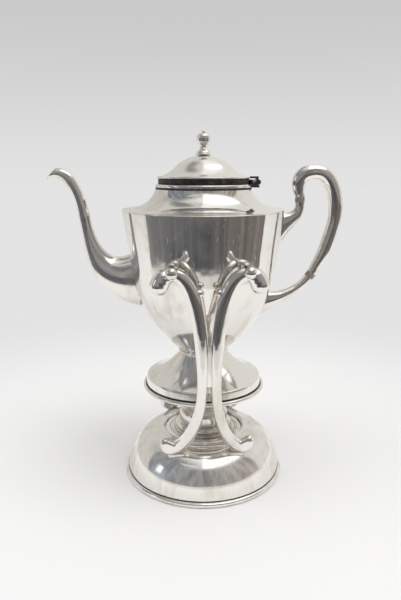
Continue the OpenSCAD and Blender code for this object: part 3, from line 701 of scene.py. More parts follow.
class POT_OT_stage(bpy.types.Operator):
    """Adds the camera, the lamps, the floor and the surroundings"""

    bl_idname = "coffee_pot.stage"
    bl_label = "Stage"

    def execute(self, context):
        scene = context.scene
        scene.view_settings.view_transform = "Standard"
        camera = bpy.data.cameras.new("camera")
        camera.lens = CAMERA_LENS
        camera.sensor_width = 36
        camera.clip_end = 50
        eye = bpy.data.objects.new("camera", camera)
        scene.collection.objects.link(eye)
        turn = math.radians(CAMERA_TURN)
        eye.location = (
            CAMERA_AWAY * math.sin(turn) + CAMERA_ASIDE * math.cos(turn),
            -CAMERA_AWAY * math.cos(turn) + CAMERA_ASIDE * math.sin(turn),
            CAMERA_UP)
        eye.rotation_euler = (math.radians(90 - CAMERA_TILT), 0, turn)
        scene.camera = eye
        self.lamps(scene)
        self.floor()
        self.paper_edge()
        self.surroundings(scene)
        return {"FINISHED"}

    def lamps(self, scene):
        for name, place, size, power in (
            ("key", (0.55, -0.35, 1.5), 0.9, 9.0),
            ("fill", (-0.9, -0.2, 1.2), 1.0, 4.0),
        ):
            lamp = bpy.data.lights.new(name, "AREA")
            lamp.size = size
            lamp.energy = power
            obj = bpy.data.objects.new(name, lamp)
            obj.location = place
            obj.rotation_euler = (Vector((0, 0, 0.1)) - Vector(place)).to_track_quat("-Z", "Y").to_euler()
            obj.visible_glossy = False
            scene.collection.objects.link(obj)

    def emptied(self, owner):
        """Wires of a material's or a world's tree with nothing in it."""
        owner.use_nodes = True
        owner.node_tree.nodes.clear()
        return Wires(owner.node_tree)

    def stage_object(self, name, work, material):
        mesh = mesh_of(work, name)
        mesh.materials.append(material)
        obj = scratch_object(mesh)
        obj.name = name
        return obj

    def floor(self):
        """Pale floor: paper with a low turned-up edge, beyond which reflections see a dim room."""
        material = bpy.data.materials.new("Paper floor")
        w = self.emptied(material)
        where = w.here()
        rays = w.node("ShaderNodeLightPath").outputs
        paper = w.out("ShaderNodeBsdfDiffuse", {"Color": (0.80, 0.795, 0.79, 1)})
        far = w.times(w.smooth(w.vector("LENGTH", where), 0.16, 0.62), rays["Is Camera Ray"])
        seen = w.either(far, paper, w.emission(PALE))
        # In reflections the paper ends at a rounded edge in front of the pot
        x, y = w.split(where)[:2]
        squares = [w.math("POWER", w.math("DIVIDE", w.math("ABSOLUTE", v), reach), 2.0)
                   for v, reach in zip((x, y), PAPER_REACH)]
        beyond = w.smooth(w.math("ADD", *squares), 0.97, 1.03)
        before = w.smooth(y, OPENING_Y - 0.006, OPENING_Y + 0.006, 1.0, 0.0)
        room = w.times(w.times(beyond, before), rays["Is Glossy Ray"])
        shade = w.either(room, seen, w.emission(self.room_tone(w, where, TABLE_TONES)))
        w.node("ShaderNodeOutputMaterial", {"Surface": shade})
        work = bmesh.new()
        bmesh.ops.create_grid(work, x_segments=1, y_segments=1, size=8)
        self.stage_object("floor", work, material).location.z = -0.0002

    def paper_edge(self):
        """Turned-up edge of the paper, which only reflections see."""
        material = bpy.data.materials.new("Paper edge")
        w = self.emptied(material)
        w.node("ShaderNodeOutputMaterial", {"Surface": w.emission(WHITE_WALL)})
        work = bmesh.new()
        steps = 96
        rows = []
        for a in [math.pi * i / steps for i in range(steps + 1)]:
            place = Vector((PAPER_REACH[0] * math.cos(a), -PAPER_REACH[1] * math.sin(a), 0))
            rows.append([work.verts.new(place), work.verts.new(place + Vector((0, 0, LIP_HEIGHT)))])
        for (a, b), (c, d) in zip(rows, rows[1:]):
            work.faces.new((a, c, d, b))
        obj = self.stage_object("paper_edge", work, material)
        obj.visible_camera = obj.visible_diffuse = obj.visible_shadow = obj.visible_transmission = False

    def room_tone(self, w, way, tones):
        """Tones of the dim room in front, with streaks."""
        x, y, z = w.split(way)
        round_about = w.math("ARCTAN2", x, w.times(y, -1.0))
        streaks = w.out("ShaderNodeCombineXYZ", {0: w.times(round_about, 6.5), 1: w.times(z, 1.3)})
        streak = w.smooth(w.noise(streaks, 1.0, 4.0, 0.6), 0.32, 0.7, 0.6, 1.7)
        tint = w.node("ShaderNodeValToRGB", {"Fac": w.smooth(round_about, -1.9, 1.9)})
        stops = tint.color_ramp.elements
        for i in range(1, len(tones) - 1):
            stops.new(i / (len(tones) - 1))
        for stop, tone in zip(stops, tones):
            stop.color = tone + (1,)
        return w.vector("SCALE", tint.outputs["Color"], scale=streak)

    def surroundings(self, scene):
        """World: a pale backdrop, and in reflections a dim room in front with a bright window."""
        scene.world = bpy.data.worlds.new("surroundings")
        w = self.emptied(scene.world)
        way = w.node("ShaderNodeTexCoord").outputs["Generated"]
        x, y, z = w.split(way)
        # Directions in degrees: round about from the front, and above the horizon
        round_about = w.times(w.math("ARCTAN2", x, w.times(y, -1.0)), 180 / math.pi)
        rise = w.times(w.math("ARCSINE", z), 180 / math.pi)

        def until(value, start, end):
            return w.smooth(value, start, end, 1.0, 0.0)

        def between(value, start, end, soft):
            return w.times(w.smooth(value, start - soft, start + soft), until(value, end - soft, end + soft))

        def patch(left, right, side_soft, bottom, top, soft):
            return w.times(between(round_about, left, right, side_soft), between(rise, bottom, top, soft))

        # White walls, lighter to the right and overhead
        side = w.smooth(round_about, -120, 60)
        seen = w.mix(side, SHADED_WALL, WHITE_WALL)
        seen = w.mix(w.times(w.smooth(rise, 42, 70), side), seen, (1.0, 1.0, 1.0, 1))
        # The open front: a dim room low down, which fades into a dark patch high on the left
        leaning = w.math("ADD", round_about, w.times(w.math("MAXIMUM", rise, 0.0), 0.42))
        low_part = w.times(w.smooth(leaning, -92.5, -90), until(round_about, 85, 88))
        low_part = w.times(low_part, until(rise, 40, 52))
        front = w.math("MAXIMUM", low_part, patch(-112, -22, 34, 34, 64, 9))
        seen = w.mix(front, seen, self.room_tone(w, way, ROOM_TONES))
        seen = w.mix(patch(-160, -110, 12, 54, 74, 6), seen, (0.22, 0.22, 0.21, 1))
        # Bluish glow and a lamp at the left, a tube above them and the window
        glow = w.times(patch(-86, -62, 9, -4, 22, 6), 0.45)
        seen = w.mix(glow, seen, (0.42, 0.52, 0.70, 1))
        lamp = patch(-80, -71, 2, 10, 26, 4)
        tube = w.times(patch(-52, -18, 3, 51, 54, 1.2), 0.45)
        window = w.times(between(round_about, -5, 128, 3), w.smooth(rise, 47, 51))
        bright = w.math("MAXIMUM", window, w.math("MAXIMUM", tube, lamp))
        seen = w.mix(bright, seen, (1.5, 1.5, 1.52, 1))
        # Reflections see all this, the camera a plain backdrop and other rays an even light
        reflected = w.out("ShaderNodeBackground", {"Color": seen})
        backdrop = w.out("ShaderNodeBackground", {"Color": w.mix(w.smooth(rise, -4, 17), PALE, UPPER_PALE)})
        even = w.out("ShaderNodeBackground", {"Color": (0.95, 0.95, 0.95, 1), "Strength": 0.85})
        rays = w.node("ShaderNodeLightPath").outputs
        mirror = w.math("MAXIMUM", rays["Is Glossy Ray"], rays["Is Transmission Ray"])
        surface = w.either(mirror, w.either(rays["Is Camera Ray"], even, backdrop), reflected)
        w.node("ShaderNodeOutputWorld", {"Surface": surface})


class POT_OT_base(bpy.types.Operator):
    """Builds the domed base, the wire round its foot and the collar of the burner hole"""

    bl_idname = "coffee_pot.base"
    bl_label = "Base"

    def execute(self, context):
        s = shape()
        finish = silver_finish("Base plate")
        hole = high("burner_collar").x - 2.8
        wall, z, sheet = s.base_r, s.base_h, s.sheet
        dome = [(wall, 0, 0.2)] + base_points(0) + [(hole, z), (hole, z - sheet)]
        dome += base_points(sheet)[::-1] + [(wall - sheet, 0, 0.2)]
        turned("base_dome_shell", dome, "stand", "base_dome", finish)
        wire_r = 2.4
        wire = [(wall, 0), (wall + 1.6, 0)] + arc((wall + 0.4, 2.0), wire_r, -56, 98, 28)
        turned("base_wire", wire, "stand", "base_wire_ring", finish)
        # A near-black band paints the shade in the groove above the wire
        groove("base_groove_shade", [(wall - 0.4, 4.0), (wall + 0.14, 4.0), (wall + 0.1, 5.3), (wall - 0.4, 5.3)], "stand")
        # The collar has a ledge inside, which the burner hangs on, and a bead on top
        ledge_r, bead_r = hole - 4.8, 1.7
        collar = [(ledge_r, z - 4.2, 0.3), (hole, z - 4.2), (hole, z), (hole + 2.8, z)]
        collar += arc((hole + 1.1, z), bead_r, 6, 150, 16)
        collar += [(hole - 1.2, z + 0.8, 0.3), (hole - 1.2, z - 3.0, 0.3), (ledge_r, z - 3.0, 0.3)]
        turned("burner_hole_collar", collar, "stand", "burner_collar", finish)
        return {"FINISHED"}


class POT_OT_burner(bpy.types.Operator):
    """Builds the spirit burner and its snuffer cap"""

    bl_idname = "coffee_pot.burner"
    bl_label = "Burner"

    def execute(self, context):
        finish = silver_finish("Burner plate")
        tank_r, bottom, top = high("burner_tank").x, low("burner_tank").z, high("burner_tank").z
        soft = 4.0
        tank = [(0, bottom), (tank_r - soft - 2, bottom)]
        tank += arc((tank_r - soft, bottom + soft), soft, -90, 0, 12)
        tank += [(tank_r, (bottom + top) / 2)]
        tank += arc((tank_r - soft, top - soft), soft, 0, 90, 12) + [(12, top), (9.5, top), (0, top)]
        turned("spirit_tank", tank, "burner", "burner_tank", finish)
        seat, edge = low("burner_flange").z, high("burner_flange").x
        face, bead_r = seat + 1.2, 0.9
        flange = [(tank_r, seat), (edge, seat, 0.3), (edge, face, 0.4)]
        flange += [(tank_r + 6.2, face)] + arc((tank_r + 4.4, face), bead_r, 0, 180, 12)
        flange += [(tank_r + 2.2, face), (tank_r, face)]
        turned("burner_pan", flange, "burner", "burner_flange", finish)
        wick_r, wick_low, wick_top = high("burner_wick").x, low("burner_wick").z, high("burner_wick").z
        tube_r, tube_low, tube_top = wick_r + 1.2, low("burner_wick_tube").z, wick_top - 1
        tube = [(wick_r, tube_low, 0.2), (tube_r, tube_low, 0.2), (tube_r, top), (wick_r + 3.6, top),
                (wick_r + 3.6, top + 1, 0.4), (tube_r, top + 1, 0.3), (tube_r, tube_top - 1.4)]
        tube += arc((wick_r + 1.1, tube_top - 0.6), bead_r, -60, 90, 10) + [(wick_r, tube_top + 0.25, 0.2)]
        turned("wick_tube", tube, "burner", "burner_wick_tube", finish)
        fray = 1.5
        wick = [(0, wick_low), (wick_r, wick_low), (wick_r, wick_top - fray)]
        wick += arc((wick_r - fray, wick_top - fray), fray, 15, 90, 6) + [(0, wick_top)]
        turned("wick", wick, "burner", "burner_wick", cotton_finish())
        self.snuffer(finish)
        return {"FINISHED"}

    def snuffer(self, finish):
        sheet = shape().sheet
        r, z0, top = high("snuffer_cap").x, low("snuffer_cap").z, high("snuffer_cap").z
        rise, turn = 1.4, 3.2

        def outline(inset):
            side, lid = r - inset, top - rise - inset
            return [(side, z0, 0.2), (side, lid - turn)] + arc((side - turn, lid - turn), turn, 8, 90, 12) + [
                (r * 0.52 - inset, lid, 0.4), (r * 0.46 - inset, lid + rise, 0.5)]

        cap = [(0, top), (4, top)] + outline(0)[::-1] + outline(sheet) + [(0, top - sheet)]
        turned("snuffer_lid", cap, "snuffer", "snuffer_cap", finish)
        foot, tip = low("snuffer_knob").z, high("snuffer_knob").z
        ball_r = 2.77
        knob = [(0, foot), (2.6, foot), (2.6, foot + 0.9, 0.3), (1.3, foot + 1.1)]
        knob += arc((0, tip - ball_r), ball_r, -62, 90, 20)[:-1] + [(0, tip)]
        turned("snuffer_button", knob, "snuffer", "snuffer_knob", finish)


class POT_OT_body(bpy.types.Operator):
    """Builds the foot, the waist, the bowl, the neck and the rim of the pot"""

    bl_idname = "coffee_pot.body"
    bl_label = "Body"

    def execute(self, context):
        s = shape()
        finish = silver_finish("Body plate")
        self.foot(s, silver_finish("Foot plate"))
        self.bowl(s, finish)
        self.neck(s, finish)
        return {"FINISHED"}

    def foot(self, s, finish):
        band, waist_r = high("pot_foot").x, 22.4
        z0, waist_z, sheet = s.foot_z, s.waist_z, s.sheet

        def curve(inset):
            edge = (band - 1.2 - inset, z0 + 11.6 - inset)
            hollow = (waist_r + (band - 1.2 - waist_r) * 0.42 - inset, z0 + 16.8 - inset)
            return bezier([edge, hollow, (waist_r - inset, waist_z)], 40)

        outline = [(band, z0, 0.2), (band, z0 + 4.3, 0.5), (band - 0.8, z0 + 10.4, 0.5)] + curve(0)
        outline += curve(sheet)[::-1]
        outline += [(band - sheet - 0.8, z0 + 10), (band - sheet, z0 + 4), (band - sheet, z0, 0.2)]
        turned("foot_trumpet", outline, "pot", "pot_foot", finish)
        wire_r = 1.9
        wire = [(band, z0 + 0.45)] + arc((band + 1.2, z0 + wire_r), wire_r, -128, 128, 36) + [(band, z0 + 3.35)]
        turned("foot_wire", wire, "pot", "pot_foot_wire", finish)
        start, end = z0 + 3.2, z0 + 5.0
        # A near-black band paints the shade in the groove above the foot's wire
        groove("foot_groove_shade", [(band - 0.4, start), (band + 0.35, start), (band + 0.1, end), (band - 0.5, end)], "pot")
        joint, floor_z = waist_z + 2.6, waist_z + FLOOR_RISE
        waist = [(16, waist_z - 0.4), (waist_r, waist_z - 0.4)]
        waist += arc((waist_r - 0.2, waist_z + 1.3), 1.2, -75, 75, 16)
        waist += [(body_radius(z), z) for z in [joint + (floor_z - joint) * i / 8 for i in range(9)]]
        turned("waist_rings", waist + [(16, floor_z)], "pot", "pot_waist", finish)

    def bowl(self, s, finish):
        floor_z, sheet, rim, rim_r = s.waist_z + FLOOR_RISE, s.sheet, s.shoulder_z, s.shoulder_r
        outer = bowl_points(floor_z, 0) + [(body_radius(rim - 1), rim - 1), (rim_r, rim)]
        inner = bowl_points(floor_z + sheet, sheet) + [(rim_r - sheet, rim)]
        outline = [(0, floor_z), (outer[0][0] - 3, floor_z)] + outer + inner[::-1]
        outline += [(inner[0][0] - 3, floor_z + sheet), (0, floor_z + sheet)]
        # A round hole leads into the spout
        drill_r = 12
        place = Matrix.Translation((0, 0, (s.waist_z + SPOUT_RISE) * MM))
        drill = spun([(0, 0), (drill_r, 0), (drill_r, rim_r + 1), (0, rim_r + 1)], None,
                     place @ Matrix.Rotation(math.radians(-90), 4, "Y"))
        piece("bowl_shell", cut(spun(outline, finish), drill), "pot", "pot_bowl", finish)

    def neck(self, s, finish):
        sheet, z0, r0 = s.sheet, s.shoulder_z, s.shoulder_r
        neck_top, top = high("pot_neck").z, high("pot_bezel").z
        neck_z, neck_r = neck_top - 0.6, high("pot_rim").x - 0.3
        bezel_r = neck_r - 2.2
        hole = bezel_r - sheet
        points = [(r0, z0), (neck_r + (r0 - neck_r) * 0.46, z0 + 0.4), (neck_r + 3.7, z0 + 6.44), (neck_r, neck_z)]
        outline = [(r0, z0), (r0, z0 + 0.6, 0.25)]
        outline += [(r, z + 0.6) for r, z in bezier(points, 48) if r < r0 - 0.5]
        outline += [(hole, neck_top, 0.2), (hole, neck_z - 0.4, 0.2)]
        outline += [(r - sheet, z - 0.4) for r, z in bezier(points, 48, 1)][::-1] + [(r0 - sheet - 1, z0)]
        turned("neck_shell", outline, "pot", "pot_neck", finish)
        wire_r = 1.7
        wire = [(bezel_r, neck_top + 0.2)] + arc((neck_r - 1.4, neck_top + wire_r), wire_r, -117, 117, 40)
        turned("rim_wire", wire + [(bezel_r, neck_top + 3.2)], "pot", "pot_rim", finish)
        back, start, end = neck_r - 1, neck_top - 1.5, neck_top + 0.4
        # A near-black band paints the shade in the groove under the rim wire
        groove("rim_groove_shade", [(back, start), (neck_r + 0.42, start), (neck_r + 0.16, end), (back, end)], "pot")
        # The collar's recess under the lid is painted near-black: painted shade from the lid rim, with some tarnish
        collar = [(hole, neck_top), (bezel_r, neck_top), (bezel_r, top, 0.4), (hole, top, 0.4)]
        turned("bezel_collar", collar, "pot", "pot_bezel", shade_and_tarnish_finish())


class POT_OT_lid(bpy.types.Operator):
    """Builds the lid with its rim, plug and finial"""

    bl_idname = "coffee_pot.lid"
    bl_label = "Lid"

    def execute(self, context):
        sheet = shape().sheet
        finish = silver_finish("Lid plate")
        r, top = high("lid_rim").x, high("lid_dome").z
        rim_low, thick = low("lid_rim").z, 1.7
        rim_top = rim_low + thick
        rise = top - rim_low - thick
        hole = 2.2

        def dome(inset):
            knee = Vector((r * 0.593 - inset, rim_top + rise * 0.47 - inset * 0.5))
            slope = Vector((1, -1.02)) * rise * 0.42
            lower = bezier([(r - 1.2 - inset, rim_top), knee + slope, knee], 28)
            return lower + bezier([knee, knee - slope * 1.1, (hole, top - inset)], 28, 1)

        turned("lid_shell", dome(0) + dome(sheet)[::-1], "lid", "lid_dome", finish)
        plug, plug_low, half = high("lid_plug").x, low("lid_plug").z, thick / 2
        bore = plug - sheet
        rim = [(bore, rim_low, 0.2), (r - 3, rim_low)] + arc((r - half, rim_low + half), half, -90, 90, 14)
        turned("lid_edge", rim + [(r - 3, rim_top), (bore, rim_top, 0.2)], "lid", "lid_rim", finish)
        ring = [(bore, plug_low, 0.3), (plug, plug_low, 0.3), (plug, rim_low), (bore, rim_low)]
        turned("lid_plug_ring", ring, "lid", "lid_plug", finish)
        self.finial(top, hole, finish)
        return {"FINISHED"}

    def finial(self, top, hole, finish):
        """Disc, bell foot, slim neck, a bulb that is widest near its top and a small bead."""
        tall, bulb_r = high("lid_finial").z - top, high("lid_finial").x
        disc_r, neck_r, bead_r = bulb_r + 0.8, 3.0, 1.6
        bulb_z, bulb_top = top + tall * 0.72, top + tall * 0.9
        neck_low, neck_high = top + tall * 0.34, top + tall * 0.37
        tip = top + tall - 0.02
        outline = [(0, top - 0.8), (hole, top - 0.8), (hole, top), (disc_r, top, 0.2), (disc_r, top + 1.2, 0.5)]
        outline += bezier([(disc_r - 0.5, top + 1.6), (disc_r - 0.9, top + 4.0), (neck_r + 0.3, top + 4.4),
                           (neck_r, neck_low)], 14)
        outline += bezier([(neck_r, neck_high), (neck_r + 1.5, neck_high + 0.8), (bulb_r + 0.2, bulb_z - 4.2),
                           (bulb_r, bulb_z)], 20, 1)
        outline += [(bulb_r * math.cos(a), bulb_z + (bulb_top - bulb_z) * math.sin(a))
                    for a in [math.pi / 2 * i / 16 for i in range(1, 14)]]
        outline += arc((0, tip - bead_r), bead_r, -38, 90, 14)[:-1] + [(0, tip)]
        turned("finial", outline, "lid", "lid_finial", finish)


class POT_OT_spout(bpy.types.Operator):
    """Builds the swan-neck spout"""

    bl_idname = "coffee_pot.spout"
    bl_label = "Spout"

    def execute(self, context):
        s = shape()
        finish = silver_finish("Spout plate")
        root_z = s.waist_z + SPOUT_RISE
        tip = Vector((low("pot_spout").x, 0, s.waist_z + 160))
        bend = Vector((tip.x + 31, 0, root_z + (tip.z - root_z) * 0.62))
        path = chain(
            ((-BOWL_RADIUS + 8, 0, root_z), 26, 15.5),
            (56, ((-BOWL_RADIUS - 22.5, 0, root_z), 19.5, 15), (bend, 4.1, 4, (6, 0, -41)), (bend, 5.3, 5)),
            (48, (bend, 3.4, 4.4, (-4.8, 0, 33)), (tip, 7.4, 5.2, (13, 0, 10.5)), (tip, 1.7, 3)))
        wall = scratch_object(swept(path, finish, sides=64, closed=False))
        thick = wall.modifiers.new("wall", "SOLIDIFY")
        thick.thickness = s.sheet * MM
        thick.offset = -1
        mouth = self.mouth_cutter(tip - Vector((0, 0, 1.2)))
        piece("spout_tube", cut(outward(baked(wall)), bowl_block(), mouth), "pot", "pot_spout", finish)
        return {"FINISHED"}

    def mouth_cutter(self, corner):
        """Block whose slanted face cuts the mouth, so that the underside ends in a beak."""
        size, slant = 26, 48
        work = bmesh.new()
        bmesh.ops.create_cube(work, size=size * MM, matrix=Matrix.Translation((0, 0, size / 2 * MM)))
        out = mesh_of(work, "mouth")
        out.transform(Matrix.Translation(corner * MM) @ Matrix.Rotation(math.radians(-slant), 4, "Y"))
        return out


class POT_OT_handle(bpy.types.Operator):
    """Builds the looped handle with its sockets and heat rings"""

    bl_idname = "coffee_pot.handle"
    bl_label = "Handle"

    def execute(self, context):
        s = shape()
        finish = silver_finish("Handle plate")
        upper_z, lower_z = s.shoulder_z - 15.1, s.waist_z + 47
        upper = Vector((body_radius(upper_z), 0, upper_z))
        lower = Vector((body_radius(lower_z), 0, lower_z))
        ring_up, ring_low = upper + Vector((16.8, 0, 21.3)), lower + Vector((41.6, 0, 22.3))
        ring, seat = 5.0, 0.4
        up_way, low_way = Vector((0, 0, 1)), Vector((0.6, 0, 0.8))
        up_half, low_half = (4.3, 4.5), (4.4, 4.6)
        crown, far = upper + Vector((27.8, 0, 47.4)), upper + Vector((48.5, 0, 1))
        top = chain(
            (upper, 13.5, 7, (-6, 0, -3.5)),
            (40, (upper, 7.8, 5.6, (6.8, 0, 6.5)), (ring_up, 3.6, 4.4, (1, 0, -14.3)),
             (ring_up - up_way * seat, *up_half)))
        top += [station(ring_up, *up_half)]
        grip = [station(ring_up + up_way * ring, *up_half)] + chain(
            (ring_up + up_way * (ring + seat), *up_half),
            (36, (ring_up, 4.9, 5, (-2, 0, ring + 5)), (crown, 7.6, 6, (-17, 0, -1.2)), (crown, 7.1, 6.6)),
            (36, (crown, 6.7, 6.8, (20.15, 0, 1.4)), (far, 6.7, 6.6, (4.2, 0, 17.4)), (far, 5.8, 6.2)),
            (40, (far, 6.5, 5.8, (-7.6, 0, -31)), (ring_low, 4.8, 5.2, (9.6, 0, 18)),
             (ring_low + low_way * (ring + seat), *low_half)))
        grip += [station(ring_low + low_way * ring, *low_half)]
        bottom = [station(ring_low, *low_half)] + chain(
            (ring_low - low_way * seat, *low_half),
            (48, (ring_low, 3.9, 4.6, (-6, 0, -8.3)), (lower, 1.8, 4.4, (19.6, 0, 2)), (lower, 13, 7, (-6, 0, -1))))
        piece("socket_upper", cut(swept(top, finish, 48), bowl_block()), "pot", "handle_socket_upper", finish)
        piece("grip", swept(grip, finish, 48), "pot", "handle_grip", finish)
        piece("socket_lower", cut(swept(bottom, finish, 48), bowl_block()), "pot", "handle_socket_lower", finish)
        tan = insulator_finish()
        for side, start, way, half in (("upper", ring_up, up_way, up_half), ("lower", ring_low, low_way, low_half)):
            barrel = [station(start + way * ring * t, half[0] + swell, half[1] + swell)
                      for t, swell in ((0, -0.15), (0.05, 0.02), (0.5, 0.05), (0.95, 0.02), (1, -0.15))]
            piece("heat_ring_" + side, swept(barrel, tan, 48), "pot", "handle_ring_" + side, tan)
        return {"FINISHED"}


class POT_OT_pegs(bpy.types.Operator):
    """Builds the bosses on the bowl and the four pegs"""

    bl_idname = "coffee_pot.pegs"
    bl_label = "Pegs"

    def execute(self, context):
        finish = silver_finish("Peg plate")
        ball_r, peg_r, bead_r, boss_r, collar_r = 5, 2.5, 0.9, 5.1, 3.9
        for side, face in ((-1, "front"), (1, "rear")):
            for hand, peg_name, body, bore in (
                ("left", "pivot_" + face, "pivots", 2.55), ("right", "rest_peg_" + face, "pot", peg_r)):
                ends = low(peg_name), high(peg_name)
                x, z = (ends[0].x + ends[1].x) / 2, (ends[0].z + ends[1].z) / 2
                root, end = sorted(abs(corner.y) for corner in ends)
                end -= 0.002
                ball_y = end - ball_r
                neck = ball_y - 5
                peg = [(0, root), (peg_r, root), (peg_r, neck - 0.8)] + arc((peg_r, neck), bead_r, -80, 40, 10)
                peg += arc((0, ball_y), ball_r, -58, 90, 32)[:-1] + [(0, end)]
                piece(peg_name + "_turned", spun(peg, finish, along_y(x, z, side)), body, peg_name, finish)
                boss_node = "boss_" + face + "_" + hand
                top = max(abs(low(boss_node).y), abs(high(boss_node).y))
                boss = [(bore, 20), (boss_r, 20), (boss_r, top - 2, 0.7), (collar_r, top - 2, 0.5),
                        (collar_r, top, 0.5), (bore, top, 0.2)]
                solid = cut(spun(boss, finish, along_y(x, z, side)), bowl_block())
                piece(boss_node + "_turned", solid, "pot", boss_node, finish)
        return {"FINISHED"}


class POT_OT_arms(bpy.types.Operator):
    """Builds the four cast scroll arms"""

    bl_idname = "coffee_pot.arms"
    bl_label = "Arms"

    def execute(self, context):
        finish = silver_finish("Arm plate")
        for x_side, hand, flare in ((1, "right", 1.2), (-1, "left", 0.0)):
            mesh = self.arm(x_side, flare, finish)
            back = mesh.copy()
            back.transform(Matrix.Scale(-1, 4, (0, 1, 0)))
            for skin, face in ((mesh, "front"), (outward(back), "rear")):
                skin.materials.clear()
                piece("scroll_arm_" + face + "_" + hand, skin, "stand", "arm_" + face + "_" + hand, finish)
        return {"FINISHED"}

    def arm(self, x_side, flare, finish):
        s = shape()
        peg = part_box("rest_peg_front")
        peg_x, peg_z = (peg[0].x + peg[1].x) / 2 / MM, (peg[0].z + peg[1].z) / 2 / MM
        arm_y, stem_x, foot_z = ARM_MIDDLE, 5.7, s.foot_z
        # The toe stands on the base's dome
        toe_x, toe_y, toe_rise = 30, -47.6, 5.4
        wall, collar = s.base_r, high("burner_collar").x - 0.4
        along = (math.hypot(toe_x, toe_y) - collar) / (wall - collar)
        dome_z = DOME_FOOT + (s.base_h - DOME_FOOT) * math.sqrt(max(0, 1 - along ** 2))
        toe = Vector((toe_x, toe_y, dome_z + toe_rise))
        stem_low, stem_high = Vector((stem_x + 0.9, -68.7, foot_z + 12)), Vector((stem_x, arm_y, foot_z + 32))
        arch = Vector((peg_x, arm_y, peg_z - 3.3))
        swing = (stem_x, arm_y, stem_high.z + (arch.z - stem_high.z) * 0.617)
        half_w, half_t = stem = 4.5, 4.7
        path = chain(
            (toe, 4.2, 4.4, (7.6, -0.8, 6.6)),
            (14, (toe, 5, 5, (8.6, -0.4, 0.6)), (toe, 5.4, 5.2, (4.6, 0.6, -1.8)), (toe, 5.4, 5.2)),
            (30, (toe, 6.4, 5.4, (-13, -2.4, 4.8)), (stem_low, *stem, (1.6, 2, -20)), (stem_low, *stem)),
            (10, (stem_low.lerp(stem_high, 0.33), *stem, (-0.3, 0, 0)),
             (stem_low.lerp(stem_high, 0.67), *stem, (-0.2, 0, 0)), (stem_high, *stem)),
            (40, (swing, half_w + 1.8, half_t + 0.2), (arch, 6.6, half_t + 0.4, (-16.3, 0, 0)),
             (arch, 5.4, half_t + 0.2)),
            (8, (arch, 5.6, half_t + 0.2, (3, 0, 0)), (arch, 6, 5.2, (5, 0, -0.8)), (arch, 6, 5.4, (6.8, 0, -2.4))))
        forms = [swept(path, finish, 32, 0.9)]
        # A roll lies along the toe, balls fill the scroll at the upper end, and a knop sits below it
        roll_start, roll_end, end_r = path[0][:3], toe + Vector((-6.2, -2.4, 0.6)), 3.6
        forms += [ball(roll_start, 4.1)]
        forms += [swept([station(roll_start, 3.8, 3.8), station(roll_end, end_r, end_r)], finish, 24)]
        forms += [ball(roll_end, end_r)]
        for offset, radius in (((6.4, 0, -2.9), 7.4), ((8.2, 0, -5.8), 7.8), ((9.4, 0, -8.6), 7.9)):
            forms += [ball(arch + Vector(offset), radius)]
        knop, stalk_r = Vector((stem_x + 1.8, arm_y, peg_z - 18.5)), 2.2
        forms += [ball(knop, 3.2)]
        forms += [swept([station(knop, stalk_r, stalk_r), station(knop, stalk_r, stalk_r, (6, 0, 0))], finish, 24)]
        skin = cast(forms, 0.46, 30)
        if x_side < 0:
            skin.transform(Matrix.Scale(-1, 4, (1, 0, 0)))
            skin = outward(skin)
        base = spun([(0, 0), (wall, 0)] + base_points(0) + [(0, s.base_h)], None)
        return cut(skin, base, self.notch(x_side * peg_x, arm_y, peg_z, flare))

    def notch(self, x, y, z, flare):
        """Cutter for the open notch that a peg lies in."""
        r, depth, rise = 2.6, 28, 8
        points = arc((0, 0), r, 180, 360, 18) + [(r + flare, rise), (-r - flare, rise)]
        work = bmesh.new()
        face = work.faces.new(
            [work.verts.new(((x + u) * MM, (y - depth / 2) * MM, (z + v) * MM)) for u, v in points])
        drawn = bmesh.ops.extrude_face_region(work, geom=[face])
        moved = [v for v in drawn["geom"] if isinstance(v, bmesh.types.BMVert)]
        bmesh.ops.translate(work, verts=moved, vec=(0, depth * MM, 0))
        bmesh.ops.recalc_face_normals(work, faces=work.faces)
        return mesh_of(work, "notch")


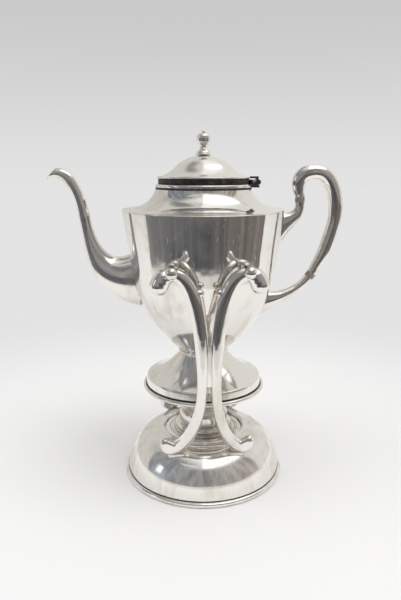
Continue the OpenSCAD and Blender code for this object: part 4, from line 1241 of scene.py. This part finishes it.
class POT_OT_small_parts(bpy.types.Operator):
    """Gives the small parts that stay as they are their finish"""

    bl_idname = "coffee_pot.small_parts"
    bl_label = "Small parts"

    def execute(self, context):
        finish = silver_finish("Small parts plate")
        # The hinge's plate is heavily tarnished and also darkened to a sixth of the silver's brightness as painted
        # shade
        shaded_hinge = silver_finish("Hinge plate")
        for name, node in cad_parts.items():
            if not node.hide_render:
                node.data.materials.clear()
                node.data.materials.append(shaded_hinge if name.startswith("hinge") else finish)
        # Near-black plate behind the knuckles, fixed to the collar: painted shade that fills the gap behind the hinge
        start, end = high("pot_bezel").x + 0.05, low("hinge_pin").x - 3.4
        bottom, top = low("hinge_leaf_pot").z + 1.7, low("lid_rim").z - 1.1
        work = bmesh.new()
        bmesh.ops.create_cube(work, size=MM, matrix=Matrix.LocRotScale(
            Vector(((start + end) / 2, 0, (bottom + top) / 2)) * MM, None, Vector((end - start, 16, top - bottom))))
        bmesh.ops.bevel(work, geom=list(work.edges), offset=0.3 * MM, segments=2, affect="EDGES")
        piece("hinge_shade_plate", outward(mesh_of(work, "hinge_shade_plate")), "pot", None, shade_and_tarnish_finish())
        return {"FINISHED"}


class POT_PT_panel(bpy.types.Panel):
    """Lists the pot's sizes, finishes and pieces"""

    bl_label = "Coffee Pot"
    bl_idname = "POT_PT_panel"
    bl_space_type = "VIEW_3D"
    bl_region_type = "UI"
    bl_category = "Coffee Pot"

    def draw(self, context):
        layout = self.layout
        for group in (context.scene.pot_sizes, context.scene.pot_finish):
            for name in group.__annotations__:
                layout.prop(group, name)
        for step in STEPS:
            layout.operator(step.bl_idname)


STEPS = (
    POT_OT_stage, POT_OT_base, POT_OT_burner, POT_OT_body, POT_OT_lid, POT_OT_spout, POT_OT_handle,
    POT_OT_pegs, POT_OT_arms, POT_OT_small_parts,
)
CLASSES = (CoffeePotSizes, CoffeePotFinish) + STEPS + (POT_PT_panel,)


def register():
    for item in CLASSES:
        bpy.utils.register_class(item)
    bpy.types.Scene.pot_sizes = bpy.props.PointerProperty(type=CoffeePotSizes)
    bpy.types.Scene.pot_finish = bpy.props.PointerProperty(type=CoffeePotFinish)


def unregister():
    del bpy.types.Scene.pot_finish
    del bpy.types.Scene.pot_sizes
    for item in reversed(CLASSES):
        bpy.utils.unregister_class(item)


def main():
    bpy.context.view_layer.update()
    register()
    for step in STEPS:
        group, action = step.bl_idname.split(".")
        getattr(getattr(bpy.ops, group), action)()


if __name__ == "__main__":
    main()
